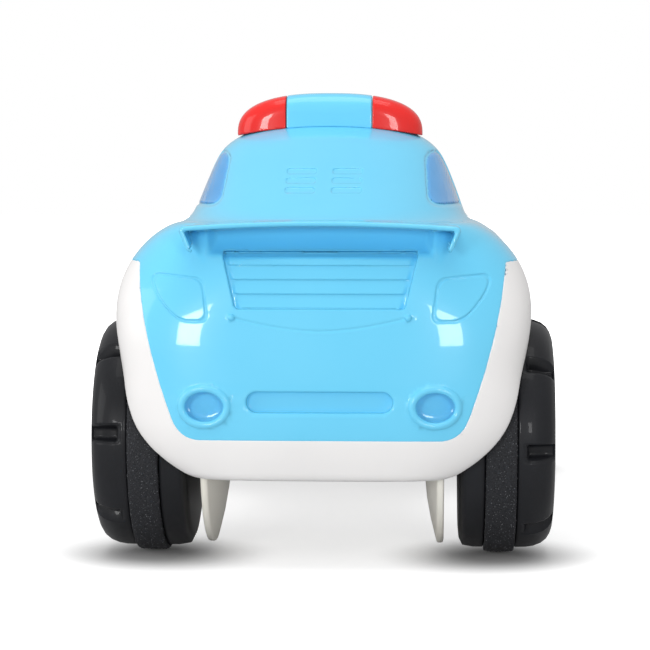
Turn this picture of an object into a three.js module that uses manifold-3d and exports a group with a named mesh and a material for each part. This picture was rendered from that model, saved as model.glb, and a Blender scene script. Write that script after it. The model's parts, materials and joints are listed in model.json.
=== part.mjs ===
// Foot-to-floor ride-on toy car with a music steering wheel.
// Millimetres, +Z up, +Y forward, origin on the ground under the middle of the car.
import * as THREE from 'three';
import { mergeVertices } from 'three/addons/utils/BufferGeometryUtils.js';
import Module from 'manifold-3d';

const wasm = await Module();
wasm.setup();

// Overall sizes
const OVERALL_WIDTH = 300;
const OVERALL_LENGTH = 600;
const WALL = 3.5;
const CLEARANCE = 0.35;

// Wheels and axles
const WHEEL_RADIUS = 80;
const WHEEL_WIDTH = 62;
const RIM_DEPTH = 8;
const BAND_WIDTH = 20;
const BAND_PROUD = 3.5;
const BAND_SEAT = 3;
const NOTCH_COUNT = 8;
const NOTCH_LENGTH = 16;
const NOTCH_WIDTH = 9;
const NOTCH_DEPTH = 4.5;
const AXLE_RADIUS = 5;
const AXLE_END_INSET = 7;
const REAR_OVERHANG = 105;
const WHEELBASE = 375;
const GUARD_RADIUS = 70;
const GUARD_THICKNESS = 8;
const GUARD_TIP = 3;
const GUARD_FACE = 78.5;
const HUB_RADIUS = 14;
const CAP_RADIUS = 30;
const DISH_DEPTH = 12;

// Lower hull
const HULL_BOTTOM = 59;
const BULGE_HEIGHT = 165;
const DECK_HEIGHT = 222;
const BOTTOM_HALF_WIDTH = 86;
const SKIRT_HALF_WIDTH = 129.5;
const FENDER_HALF_WIDTH = 135.7;
const DECK_HALF_WIDTH = 94;
const REAR_CORNER = 70;
const NOSE_CORNER = 120;
const WAIST_SHARE = 0.36;
const REAR_ARCH_RADIUS = 86.5;
const FRONT_ARCH_LENGTH = 106;
const FRONT_ARCH_HEIGHT = 88;
const SPINE_HALF_WIDTH = 52;

// Split between the white chassis and the blue shell
const SPLIT_REAR = 197;
const SPLIT_WAIST = 150;
const SPLIT_NOSE = 182;
const TONGUE_BOTTOM = 84.5;
const TONGUE_BOTTOM_HALF = 82;
const TONGUE_TOP_HALF = 117;
const TONGUE_CORNER = 13;

// Seat bay, back-rest, dash and bonnet
const SEAT_DECK = 203;
const BACKREST_Y = -112;
const DASH_Y = 62;
const BONNET_REAR_HEIGHT = 212;
const BONNET_NOSE_HEIGHT = 188;
const COWL_TOP = 222;
const CAB_TOP = 286;
const CAB_TOP_FRONT = -128;
const CAB_TOP_REAR = -166;
const BIN_HALF_WIDTH = 56;
const BIN_REAR = -94;
const BIN_FRONT = 24;
const LID_HALF_WIDTH = 66;
const LID_LENGTH = 132;
const LID_THICKNESS = 9;
const HINGE_PIN_RADIUS = 2.5;
const HINGE_BARREL_RADIUS = 5;
const HINGE_BARREL_HALF = 46;
const HINGE_LUG_WIDTH = 8;

// Rear panel details
const SKIN_DEPTH = 1.2;
const GRILLE_TOP = 203;
const GRILLE_BOTTOM = 164;
const GRILLE_TOP_HALF = 61;
const GRILLE_BOTTOM_HALF = 53;
const GRILLE_SLATS = 4;
const RING_X = 73;
const RING_Z = 105.5;
const RING_OUTER = 17;
const RING_INNER = 13;
const RING_PROUD = 1.5;
const SLOT_HALF_WIDTH = 46;
const SLOT_Z = 108;
const SLOT_HEIGHT = 13.5;
const SPOILER_HALF_WIDTH = 88;
const SPOILER_Z = 217;
const SPOILER_DEPTH = 13;
const SPOILER_THICKNESS = 5;
const SPOILER_DROP = 13;
const VENT_WIDTH = 20;
const VENT_HEIGHT = 4;
const VENT_OFFSET = 15;

// Light bar
const BAR_HALF_WIDTH = 64;
const BAR_CENTRE_HALF = 29;
const BAR_DEPTH = 30;
const BAR_TOP = 308;
const BAR_Y = -148;
const LENS_SHOULDER = 303;

// Steering
const COLUMN_TILT = 18.4 * Math.PI / 180;
const COLUMN_RADIUS = 6;
const COLUMN_LENGTH = 223;
const STEERING_Y = 115;
const STEERING_Z = 262;
const STEERING_RADIUS = 62;
const RIM_TUBE = 8;
const BUSH_WALL = 3;
const BUSH_FLANGE = 3;
const BUSH_LIP = 2.5;
const BUSH_LENGTH = 18;
const CRANK_LENGTH = 20.5;
const CRANK_THICKNESS = 5;
const PIN_RADIUS = 3;
const KINGPIN_X = 78;
const KINGPIN_RADIUS = 6;
const EAR_RADIUS = 9;
const EAR_THICKNESS = 6;
const EAR_TOP_GAP = 32;
const ARM_LENGTH = 30;
const TIE_ROD_Z = 32;
const TIE_ROD_THICKNESS = 5;
const TIE_ROD_WIDTH = 12;

// Music module in the steering wheel hub
const CUP_RADIUS = 40;
const CUP_WALL = 3;
const CUP_DEPTH = 22;
const CUP_RIM = 2;
const COVER_HEIGHT = 11;
const COVER_WALL = 2.5;
const BOARD_THICKNESS = 1.6;
const BOARD_HEIGHT = -3;
const LEDGE_WIDTH = 4;
const CELL_RADIUS = 5.25;
const CELL_LENGTH = 44.5;
const SPEAKER_RADIUS = 14;
const SPEAKER_HEIGHT = 8;
const SPEAKER_Y = -17;
const HORN_RADIUS = 13.5;
const MELODY_RADIUS = 7.5;
const MELODY_X = 25;
const BUTTON_PROUD = 3;
const BUTTON_TRAVEL = 2;
const FLANGE_WIDTH = 1.6;
const SWITCH_TRAVEL = 3;

// Colours and finishes
const BLUE = '#7adcff';
const WHITE = '#e8e6e6';
const BLACK = '#2e2f31';
const RUBBER = '#242526';
const RED = '#ff4040';
const STEEL = '#b9bcc0';
const YELLOW = '#f5c542';
const BOARD_GREEN = '#2f6b45';

// Fineness of round forms
const ROUND = 24;
const SMALL_ROUND = 12;
const FINE = 5;
const COARSE = 3;

// Places worked out from the sizes above
const REAR = -OVERALL_LENGTH / 2;
const FRONT = OVERALL_LENGTH / 2;
const REAR_AXLE_Y = REAR + REAR_OVERHANG;
const FRONT_AXLE_Y = REAR_AXLE_Y + WHEELBASE;
const AXLE_Z = WHEEL_RADIUS;
const WHEEL_FACE = OVERALL_WIDTH / 2;
const WHEEL_INNER = WHEEL_FACE - WHEEL_WIDTH;
const WHEEL_BODY_RADIUS = WHEEL_RADIUS - BAND_PROUD;
const FAR = OVERALL_LENGTH;

// Turns a closed geometry into a solid for joining and cutting
function solid(geometry) {
  const bare = new THREE.BufferGeometry();
  bare.setAttribute('position', geometry.getAttribute('position'));
  bare.setIndex(geometry.getIndex());
  const merged = mergeVertices(bare, 1e-4);
  const index = merged.getIndex().array;
  const triangles = [];
  for (let i = 0; i < index.length; i += 3) {
    const [a, b, c] = [index[i], index[i + 1], index[i + 2]];
    if (a !== b && b !== c && c !== a) triangles.push(a, b, c);
  }
  const vertProperties = new Float32Array(merged.getAttribute('position').array);
  const make = (list) => new wasm.Manifold(
    new wasm.Mesh({ numProp: 3, vertProperties, triVerts: new Uint32Array(list) }));
  const body = make(triangles);
  if (body.volume() > 0) return body;
  return make(triangles.reverse());
}

// Turns a solid back into a geometry
function geometryOf(body) {
  const mesh = body.getMesh();
  const geometry = new THREE.BufferGeometry();
  geometry.setAttribute('position', new THREE.BufferAttribute(new Float32Array(mesh.vertProperties), 3));
  geometry.setIndex(new THREE.BufferAttribute(new Uint32Array(mesh.triVerts), 1));
  geometry.computeVertexNormals();
  return geometry;
}

function named(name, body, color, roughness, metalness = 0) {
  const material = new THREE.MeshStandardMaterial({ color, roughness, metalness });
  const piece = new THREE.Mesh(geometryOf(body), material);
  piece.name = name;
  return piece;
}

// Cutting can leave slivers thinner than a hair, so only the piece itself is kept
function mainPiece(body) {
  return body.decompose().reduce((best, part) => (part.volume() > best.volume() ? part : best));
}

function union(...bodies) {
  return bodies.reduce((sum, body) => sum.add(body));
}

// Box between two corners
function block(x0, x1, y0, y1, z0, z1) {
  const geometry = new THREE.BoxGeometry(x1 - x0, y1 - y0, z1 - z0);
  geometry.translate((x0 + x1) / 2, (y0 + y1) / 2, (z0 + z1) / 2);
  return solid(geometry);
}

// Cylinder along X between two places
function rodX(radius, x0, x1, y, z, sides = SMALL_ROUND) {
  const geometry = new THREE.CylinderGeometry(radius, radius, x1 - x0, sides);
  geometry.rotateZ(Math.PI / 2);
  geometry.translate((x0 + x1) / 2, y, z);
  return solid(geometry);
}

// Cylinder along Z between two heights
function rodZ(radius, x, y, z0, z1, sides = SMALL_ROUND) {
  const geometry = new THREE.CylinderGeometry(radius, radius, z1 - z0, sides);
  geometry.rotateX(Math.PI / 2);
  geometry.translate(x, y, (z0 + z1) / 2);
  return solid(geometry);
}

// Revolved profile of [radius, height] pairs around Z, closed on itself
function turned(profile, sides = ROUND) {
  const points = [...profile, profile[0]].map(([r, h]) => new THREE.Vector2(r, h));
  const geometry = new THREE.LatheGeometry(points, sides);
  geometry.rotateX(Math.PI / 2);
  return solid(geometry);
}

// Revolved profile of [radius, place] pairs around X
function turnedX(profile, sides = ROUND) {
  const points = [...profile, profile[0]].map(([r, h]) => new THREE.Vector2(r, h));
  const geometry = new THREE.LatheGeometry(points, sides);
  geometry.rotateZ(-Math.PI / 2);
  return solid(geometry);
}

// Flat shape drawn in X and Z, run along Y
function alongY(shape, y0, y1, steps = 6) {
  const geometry = new THREE.ExtrudeGeometry(shape,
    { depth: y1 - y0, bevelEnabled: false, curveSegments: steps });
  geometry.rotateX(Math.PI / 2);
  geometry.translate(0, y1, 0);
  return solid(geometry);
}

// Flat shape drawn in Y and Z, run along X
function alongX(shape, x0, x1, steps = 6) {
  const geometry = new THREE.ExtrudeGeometry(shape,
    { depth: x1 - x0, bevelEnabled: false, curveSegments: steps });
  geometry.rotateY(Math.PI / 2);
  geometry.rotateX(Math.PI / 2);
  geometry.translate(x0, 0, 0);
  return solid(geometry);
}

// Flat shape drawn in X and Y, run along Z
function alongZ(shape, z0, z1, steps = 6) {
  const geometry = new THREE.ExtrudeGeometry(shape,
    { depth: z1 - z0, bevelEnabled: false, curveSegments: steps });
  geometry.translate(0, 0, z0);
  return solid(geometry);
}

function polygon(points) {
  return new THREE.Shape(points.map(([x, y]) => new THREE.Vector2(x, y)));
}

function roundedRectangle(x0, x1, y0, y1, radius) {
  const shape = new THREE.Shape();
  shape.absarc(x1 - radius, y0 + radius, radius, -Math.PI / 2, 0);
  shape.absarc(x1 - radius, y1 - radius, radius, 0, Math.PI / 2);
  shape.absarc(x0 + radius, y1 - radius, radius, Math.PI / 2, Math.PI);
  shape.absarc(x0 + radius, y0 + radius, radius, Math.PI, Math.PI * 1.5);
  return shape;
}

// Body through a stack of plan outlines with equal numbers of points
function loft(rings) {
  const count = rings[0].length;
  const positions = rings.flat(2);
  const index = [];
  for (let k = 0; k + 1 < rings.length; k++) {
    for (let i = 0; i < count; i++) {
      const a = k * count + i;
      const b = k * count + (i + 1) % count;
      index.push(a, b, b + count, a, b + count, a + count);
    }
  }
  const top = (rings.length - 1) * count;
  const cap = (ring) => {
    const mean = [0, 1, 2].map((axis) => ring.reduce((sum, p) => sum + p[axis], 0) / count);
    positions.push(...mean);
    return positions.length / 3 - 1;
  };
  const low = cap(rings[0]);
  const high = cap(rings[rings.length - 1]);
  for (let i = 0; i < count; i++) {
    const next = (i + 1) % count;
    index.push(low, next, i, high, top + i, top + next);
  }
  const geometry = new THREE.BufferGeometry();
  geometry.setAttribute('position', new THREE.Float32BufferAttribute(positions, 3));
  geometry.setIndex(index);
  return solid(geometry);
}

function smooth(from, to, value) {
  return THREE.MathUtils.smoothstep(value, from, to);
}

// Leg room: the hull draws in between the back-rest and the dash
function waist(y) {
  const drawn = smooth(BACKREST_Y, BACKREST_Y + 60, y) * (1 - smooth(DASH_Y - 55, DASH_Y + 10, y));
  return 1 - WAIST_SHARE * drawn;
}

// Places along the side where the waist bends
const WAIST_STATIONS = [BACKREST_Y, BACKREST_Y + 20, BACKREST_Y + 40, BACKREST_Y + 60,
  DASH_Y - 55, DASH_Y - 32, DASH_Y - 10, DASH_Y + 10];

// Plan outline at one height: squarish rear corners, rounder nose corners
function outline(z, halfWidth, rear, front, rearCorner, noseCorner, drawIn, steps) {
  const right = [];
  const fit = Math.min(1, 0.95 * (front - rear) / (rearCorner + noseCorner));
  const rearPower = 2 / 3.5;
  const nosePower = 2 / 2.6;
  for (let i = 0; i <= steps; i++) {
    const angle = Math.PI / 2 * i / steps;
    const across = Math.sin(angle) ** rearPower;
    const ahead = 1 - Math.max(Math.cos(angle), 0) ** rearPower;
    right.push([halfWidth * (i === steps ? 1 : across), rear + rearCorner * fit * ahead]);
  }
  if (drawIn) WAIST_STATIONS.forEach((y) => right.push([halfWidth, y]));
  for (let i = steps; i >= 0; i--) {
    const angle = Math.PI / 2 * i / steps;
    const across = Math.sin(angle) ** nosePower;
    const behind = 1 - Math.max(Math.cos(angle), 0) ** nosePower;
    right.push([halfWidth * (i === steps ? 1 : across), front - noseCorner * fit * behind]);
  }
  const ring = right.map(([x, y]) => [x * (drawIn ? waist(y) : 1), y, z]);
  const left = ring.slice(1, -1).reverse().map(([x, y]) => [-x, y, z]);
  return [...ring, ...left];
}

// Inner faces that nobody sees get fewer facets than the outer skin
function fineness(offset) {
  return offset > -WALL ? FINE : COARSE;
}

// Half width of the hull at one height
function hullHalfWidth(z) {
  if (z < BULGE_HEIGHT) {
    const low = Math.max(0, 1 - (z - HULL_BOTTOM) / 36);
    const rise = smooth(120, BULGE_HEIGHT, z);
    return SKIRT_HALF_WIDTH - (SKIRT_HALF_WIDTH - BOTTOM_HALF_WIDTH) * low ** 2.3
      + (FENDER_HALF_WIDTH - SKIRT_HALF_WIDTH) * rise;
  }
  const up = Math.min(1, (z - BULGE_HEIGHT) / (DECK_HEIGHT - BULGE_HEIGHT));
  return DECK_HALF_WIDTH + (FENDER_HALF_WIDTH - DECK_HALF_WIDTH) * (1 - up ** 1.9) ** (1 / 1.8);
}

// How far the end face at one height stands back from the bumper's most proud line
function tuck(z, bottomTuck, topTuck) {
  const low = Math.max(0, 1 - (z - HULL_BOTTOM) / 37);
  const high = Math.max(0, (z - 110) / (DECK_HEIGHT - 110));
  return bottomTuck * low ** 2 + topTuck * high ** 1.5;
}

const REAR_TUCK = [7, 10];
const NOSE_TUCK = [10, 40];

// Hull solid, grown or shrunk by an offset, from one height to another
function hull(offset, from, to) {
  const levels = fineness(offset) === FINE ? [0, 0.05, 0.12, 0.22, 0.5, 0.7, 0.84, 0.93, 0.98, 1]
    : [0, 0.12, 0.5, 0.84, 1];
  const rings = levels.map((share) => {
    const z = THREE.MathUtils.lerp(from, to, share);
    const shape = THREE.MathUtils.lerp(HULL_BOTTOM, DECK_HEIGHT, share);
    return outline(z, hullHalfWidth(shape) + offset, REAR + tuck(shape, ...REAR_TUCK) - offset,
      FRONT - tuck(shape, ...NOSE_TUCK) + offset, REAR_CORNER, NOSE_CORNER, true, fineness(offset));
  });
  return loft(rings);
}

// Cab hump behind the seat, which is also the back-rest
function cab(offset, from, to) {
  const levels = fineness(offset) === FINE ? [0, 0.35, 0.7, 0.88, 1] : [0, 0.7, 1];
  const base = DECK_HEIGHT - 12;
  const rings = levels.map((share) => {
    const z = THREE.MathUtils.lerp(from, to, share);
    const shape = THREE.MathUtils.lerp(base, CAB_TOP, share);
    const up = (shape - DECK_HEIGHT) / (CAB_TOP - DECK_HEIGHT);
    const halfWidth = DECK_HALF_WIDTH - 23 * up - 12 * Math.max(0, up) ** 5;
    const rear = THREE.MathUtils.lerp(REAR + REAR_TUCK[1] + 2, CAB_TOP_REAR, Math.max(0, up));
    const front = THREE.MathUtils.lerp(BACKREST_Y, CAB_TOP_FRONT, Math.max(0, up));
    return outline(z, halfWidth + offset, rear - offset, front + offset, 45, 22, false, fineness(offset));
  });
  return loft(rings);
}

// Cowl hump that carries the steering column
function cowl(offset, from, to) {
  const levels = fineness(offset) === FINE ? [0, 0.45, 0.8, 1] : [0, 0.6, 1];
  const rings = levels.map((share) => {
    const z = THREE.MathUtils.lerp(from, to, share);
    const halfWidth = 104 - 20 * share - 34 * share ** 4;
    const front = THREE.MathUtils.lerp(FRONT - 60, DASH_Y + 90, share);
    return outline(z, halfWidth + offset, DASH_Y + 6 * share - offset, front + offset, 30, 80, false, fineness(offset));
  });
  return loft(rings);
}

// Air above the seat bay and above the sloping bonnet
function cockpitCut(offset) {
  const shape = polygon([
    [BACKREST_Y - offset, FAR], [BACKREST_Y - offset, SEAT_DECK - offset],
    [DASH_Y + offset, SEAT_DECK - offset], [DASH_Y + offset, BONNET_REAR_HEIGHT - offset],
    [FRONT + 20, BONNET_NOSE_HEIGHT - offset], [FRONT + 20, FAR],
  ]);
  return alongX(shape, -FAR, FAR);
}

function bodySolid(offset, bottom) {
  const lower = hull(offset, bottom, DECK_HEIGHT + offset).subtract(cockpitCut(-offset));
  const dash = cowl(offset, SEAT_DECK - 20, COWL_TOP + offset);
  return union(lower, cab(offset, DECK_HEIGHT - 12, CAB_TOP + offset), dash);
}

const OUTER = bodySolid(0, HULL_BOTTOM);
const INNER = bodySolid(-WALL, HULL_BOTTOM + WALL);
const UNDERSKIN = bodySolid(-SKIN_DEPTH, HULL_BOTTOM + SKIN_DEPTH);

// Everything below the parting line, lowered by a gap
function belowSplit(gap) {
  const shape = new THREE.Shape();
  const rise = 45;
  const waistRear = BACKREST_Y + 10;
  const waistFront = DASH_Y + 5;
  shape.moveTo(-FAR, 0);
  shape.lineTo(FAR, 0);
  shape.lineTo(FAR, SPLIT_NOSE - gap);
  shape.lineTo(waistFront, SPLIT_NOSE - gap);
  shape.bezierCurveTo(waistFront - rise / 2, SPLIT_NOSE - gap, waistFront - rise / 2, SPLIT_WAIST - gap,
    waistFront - rise, SPLIT_WAIST - gap);
  shape.lineTo(waistRear + rise, SPLIT_WAIST - gap);
  shape.bezierCurveTo(waistRear + rise / 2, SPLIT_WAIST - gap, waistRear + rise / 2, SPLIT_REAR - gap,
    waistRear, SPLIT_REAR - gap);
  shape.lineTo(-FAR, SPLIT_REAR - gap);
  return alongX(shape, -FAR, FAR);
}

// Blue tongue that runs down the rear panel, grown by a gap
function tongue(gap) {
  const bottom = TONGUE_BOTTOM - gap;
  const low = TONGUE_BOTTOM_HALF + gap;
  const high = TONGUE_TOP_HALF + gap;
  const corner = TONGUE_CORNER + gap;
  const shape = new THREE.Shape();
  shape.moveTo(-high, SPLIT_REAR + 1);
  shape.quadraticCurveTo(-high + 4, SPLIT_WAIST, -low - corner, bottom + corner);
  shape.quadraticCurveTo(-low - corner / 3, bottom, -low + corner / 3, bottom);
  shape.lineTo(low - corner / 3, bottom);
  shape.quadraticCurveTo(low + corner / 3, bottom, low + corner, bottom + corner);
  shape.quadraticCurveTo(high - 4, SPLIT_WAIST, high, SPLIT_REAR + 1);
  return alongY(shape, REAR - 20, REAR + REAR_CORNER * 0.6, 3);
}

// Wheel arch wells, as elliptic tunnels along X on both sides
function archWell(y, halfLength, height, inner, grow) {
  const shape = new THREE.Shape();
  shape.absellipse(y, AXLE_Z, halfLength + grow, height + grow, 0, Math.PI * 2);
  const right = alongX(shape, inner - grow, FAR, ROUND / 2 - 2);
  const left = alongX(shape, -FAR, -inner + grow, ROUND / 2 - 2);
  return union(right, left);
}

const REAR_WELL = [REAR_AXLE_Y, REAR_ARCH_RADIUS, REAR_ARCH_RADIUS, GUARD_FACE];
const FRONT_WELL = [FRONT_AXLE_Y, FRONT_ARCH_LENGTH, FRONT_ARCH_HEIGHT, SPINE_HALF_WIDTH];
const EAR_LOW = HULL_BOTTOM;
const EAR_HIGH = AXLE_Z + EAR_TOP_GAP;

// Column frame: origin at the steering wheel, +Z up the column
const COLUMN_FRAME = new THREE.Matrix4()
  .makeTranslation(0, STEERING_Y, STEERING_Z)
  .multiply(new THREE.Matrix4().makeRotationX(COLUMN_TILT));

function columnHole(radius) {
  const geometry = new THREE.CylinderGeometry(radius, radius, COLUMN_LENGTH * 2, SMALL_ROUND);
  geometry.rotateX(Math.PI / 2);
  geometry.translate(0, 0, -COLUMN_LENGTH);
  geometry.applyMatrix4(COLUMN_FRAME);
  return solid(geometry);
}

function makeChassis() {
  const shell = OUTER.subtract(INNER).intersect(belowSplit(CLEARANCE));
  const liners = union(archWell(...REAR_WELL, WALL), archWell(...FRONT_WELL, WALL)).intersect(OUTER);
  let tub = union(shell, liners.intersect(belowSplit(CLEARANCE)));
  tub = tub.subtract(archWell(...REAR_WELL, 0)).subtract(archWell(...FRONT_WELL, 0));
  tub = tub.subtract(tongue(CLEARANCE));
  for (const side of [-1, 1]) {
    const guard = turnedX([
      [AXLE_RADIUS + CLEARANCE, 0], [AXLE_RADIUS + CLEARANCE, GUARD_THICKNESS],
      [GUARD_RADIUS * 0.55, GUARD_THICKNESS], [GUARD_RADIUS, GUARD_TIP], [GUARD_RADIUS, 0],
    ]);
    const place = guard.rotate([0, 0, side > 0 ? 180 : 0])
      .translate([side * GUARD_FACE, REAR_AXLE_Y, AXLE_Z]);
    tub = tub.subtract(rodX(AXLE_RADIUS + CLEARANCE, -FAR, FAR, REAR_AXLE_Y, AXLE_Z)).add(place);
    for (const z of [EAR_LOW, EAR_HIGH]) {
      const x0 = SPINE_HALF_WIDTH - WALL;
      const bar = block(x0, KINGPIN_X, FRONT_AXLE_Y - EAR_RADIUS, FRONT_AXLE_Y + EAR_RADIUS,
        z, z + EAR_THICKNESS);
      const eye = rodZ(EAR_RADIUS, KINGPIN_X, FRONT_AXLE_Y, z, z + EAR_THICKNESS);
      const ear = union(bar, eye).rotate([0, 0, 0]);
      tub = tub.add(side > 0 ? ear : ear.mirror([1, 0, 0]));
    }
    tub = tub.subtract(rodZ(KINGPIN_RADIUS + CLEARANCE, side * KINGPIN_X, FRONT_AXLE_Y, 0, FAR));
    for (const y of [BIN_REAR - 10, BIN_FRONT + 16]) {
      tub = tub.add(rodZ(6, side * BIN_HALF_WIDTH * 0.85, y, HULL_BOTTOM + WALL / 2,
        SEAT_DECK - WALL - CLEARANCE));
    }
  }
  return mainPiece(tub.subtract(columnHole(COLUMN_RADIUS + CLEARANCE)));
}

function makeShell() {
  const whole = OUTER.subtract(INNER);
  const upper = whole.subtract(belowSplit(0));
  const panel = whole.intersect(tongue(0)).intersect(belowSplit(-1));
  let shell = union(upper, panel);
  shell = shell.subtract(panelCuts()).add(panelRaised());
  shell = shell.subtract(block(-BIN_HALF_WIDTH, BIN_HALF_WIDTH, BIN_REAR, BIN_FRONT,
    SEAT_DECK - 3 * WALL, SEAT_DECK + WALL));
  shell = shell.subtract(columnHole(COLUMN_RADIUS + BUSH_WALL + CLEARANCE));
  return mainPiece(shell.add(hingeLugs()));
}

const HINGE_Y = BACKREST_Y + HINGE_BARREL_RADIUS + 1.2;
const HINGE_Z = SEAT_DECK + HINGE_BARREL_RADIUS + CLEARANCE;

function hingeLugs() {
  const lugs = [-1, 1].map((side) => {
    const inner = HINGE_BARREL_HALF + CLEARANCE;
    const outer = inner + HINGE_LUG_WIDTH;
    const [x0, x1] = side > 0 ? [inner, outer] : [-outer, -inner];
    const eye = rodX(HINGE_BARREL_RADIUS, x0, x1, HINGE_Y, HINGE_Z);
    const foot = block(x0, x1, HINGE_Y - HINGE_BARREL_RADIUS, HINGE_Y + HINGE_BARREL_RADIUS,
      SEAT_DECK - 1, HINGE_Z);
    return union(eye, foot);
  });
  return union(...lugs).subtract(rodX(HINGE_PIN_RADIUS + CLEARANCE, -FAR, FAR, HINGE_Y, HINGE_Z));
}

// Lamp outline on one side of the rear panel
function lampShape(grow) {
  const shape = new THREE.Shape();
  shape.moveTo(71 - grow, 189 + grow);
  shape.lineTo(97 + grow, 191 + grow);
  shape.quadraticCurveTo(102 + grow, 190 + grow, 102 + grow, 185);
  shape.quadraticCurveTo(100 + grow, 170, 88, 162 - grow);
  shape.lineTo(74 - grow, 161 - grow);
  shape.quadraticCurveTo(69 - grow, 161 - grow, 69 - grow, 167);
  shape.lineTo(68 - grow, 185);
  return shape;
}

// Sunk details of the rear panel, cut only as deep as the skin
function panelCuts() {
  const y0 = REAR - 20;
  const y1 = REAR + 40;
  const lamp = alongY(lampShape(0), y0, y1, 2).subtract(alongY(lampShape(-1.6), y0 - 1, y1 + 1, 2));
  const slot = roundedRectangle(-SLOT_HALF_WIDTH, SLOT_HALF_WIDTH, SLOT_Z - SLOT_HEIGHT / 2,
    SLOT_Z + SLOT_HEIGHT / 2, SLOT_HEIGHT / 2.01);
  let cuts = union(lamp, lamp.mirror([1, 0, 0]), alongY(slot, y0, y1, 2));
  const pitch = (GRILLE_TOP - GRILLE_BOTTOM) / GRILLE_SLATS;
  for (let k = 0; k < GRILLE_SLATS; k++) {
    const z = GRILLE_BOTTOM + pitch * k;
    const half = THREE.MathUtils.lerp(GRILLE_BOTTOM_HALF, GRILLE_TOP_HALF, k / GRILLE_SLATS);
    cuts = cuts.add(block(-half, half, y0, y1, z, z + pitch * 0.28));
  }
  for (const side of [-1, 1]) {
    const hole = new THREE.CylinderGeometry(RING_INNER, RING_INNER, y1 - y0, SMALL_ROUND + 4);
    hole.translate(side * RING_X, (y0 + y1) / 2, RING_Z);
    cuts = cuts.add(solid(hole));
  }
  return cuts.add(windowCuts()).add(ventCuts()).subtract(UNDERSKIN);
}

const CAB_HALF_INSIDE = BAR_HALF_WIDTH - 10;

// Quarter-window recesses on both sides of the cab
function windowCuts() {
  const shape = polygon([[-232, 232], [-150, 232], [-146, 270], [-172, 268]]);
  return union(alongX(shape, CAB_HALF_INSIDE, FAR), alongX(shape, -FAR, -CAB_HALF_INSIDE));
}

// Six louvres in the sloping rear window panel
function ventCuts() {
  let cuts = null;
  for (const side of [-1, 1]) {
    for (let row = 0; row < 3; row++) {
      const z = 243 + row * 6.5;
      const x = side * VENT_OFFSET;
      const run = block(x - VENT_WIDTH / 2, x + VENT_WIDTH / 2, REAR, CAB_TOP_REAR, z, z + VENT_HEIGHT);
      cuts = cuts ? cuts.add(run) : run;
    }
  }
  return cuts;
}

// Proud details of the rear panel: exhaust rings and the spoiler lip
function panelRaised() {
  const grown = bodySolid(RING_PROUD, HULL_BOTTOM).subtract(bodySolid(-SKIN_DEPTH / 2, HULL_BOTTOM));
  let raised = null;
  for (const side of [-1, 1]) {
    const lip = RING_INNER + CLEARANCE;
    const ring = turned([[lip, -40], [RING_OUTER, -40], [RING_OUTER, 20], [lip, 20]], SMALL_ROUND + 4);
    const band = ring.rotate([90, 0, 0]).translate([side * RING_X, REAR, RING_Z]).intersect(grown);
    raised = raised ? raised.add(band) : band;
  }
  return raised.add(makeSpoiler());
}

// Lip under the rear window with its ends turned down
function makeSpoiler() {
  const rear = REAR + 2;
  const shape = new THREE.Shape();
  const half = SPOILER_HALF_WIDTH;
  const top = SPOILER_Z + SPOILER_THICKNESS;
  shape.moveTo(-half, SPOILER_Z - SPOILER_DROP);
  shape.quadraticCurveTo(-half - 1, top - 2, -half + 12, top);
  shape.lineTo(half - 12, top);
  shape.quadraticCurveTo(half + 1, top - 2, half, SPOILER_Z - SPOILER_DROP);
  shape.lineTo(half - 5, SPOILER_Z - SPOILER_DROP);
  shape.quadraticCurveTo(half - 7, SPOILER_Z, half - 22, SPOILER_Z);
  shape.lineTo(-half + 22, SPOILER_Z);
  shape.quadraticCurveTo(-half + 7, SPOILER_Z, -half + 5, SPOILER_Z - SPOILER_DROP);
  return alongY(shape, rear, rear + SPOILER_DEPTH + REAR_TUCK[1], 3).subtract(INNER);
}

function makeSeatLid() {
  const rear = HINGE_Y + HINGE_BARREL_RADIUS + 2;
  const front = rear + LID_LENGTH - 2;
  const bottom = SEAT_DECK + CLEARANCE;
  const plate = alongZ(roundedRectangle(-LID_HALF_WIDTH, LID_HALF_WIDTH, rear, front, 22),
    bottom, bottom + LID_THICKNESS);
  const hollow = new THREE.SphereGeometry(260, 24, 12);
  hollow.translate(0, (rear + front) / 2, bottom + LID_THICKNESS + 260 - 4);
  const barrel = rodX(HINGE_BARREL_RADIUS, -HINGE_BARREL_HALF, HINGE_BARREL_HALF, HINGE_Y, HINGE_Z);
  const strap = block(-HINGE_BARREL_HALF, HINGE_BARREL_HALF, HINGE_Y, rear + 4, bottom + 1, HINGE_Z);
  const locator = block(-BIN_HALF_WIDTH + 2, BIN_HALF_WIDTH - 2, BIN_FRONT - 4, BIN_FRONT - 1,
    bottom - 5, bottom + 1);
  return union(plate.subtract(solid(hollow)), barrel, strap, locator)
    .subtract(rodX(HINGE_PIN_RADIUS + CLEARANCE, -FAR, FAR, HINGE_Y, HINGE_Z));
}

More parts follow.
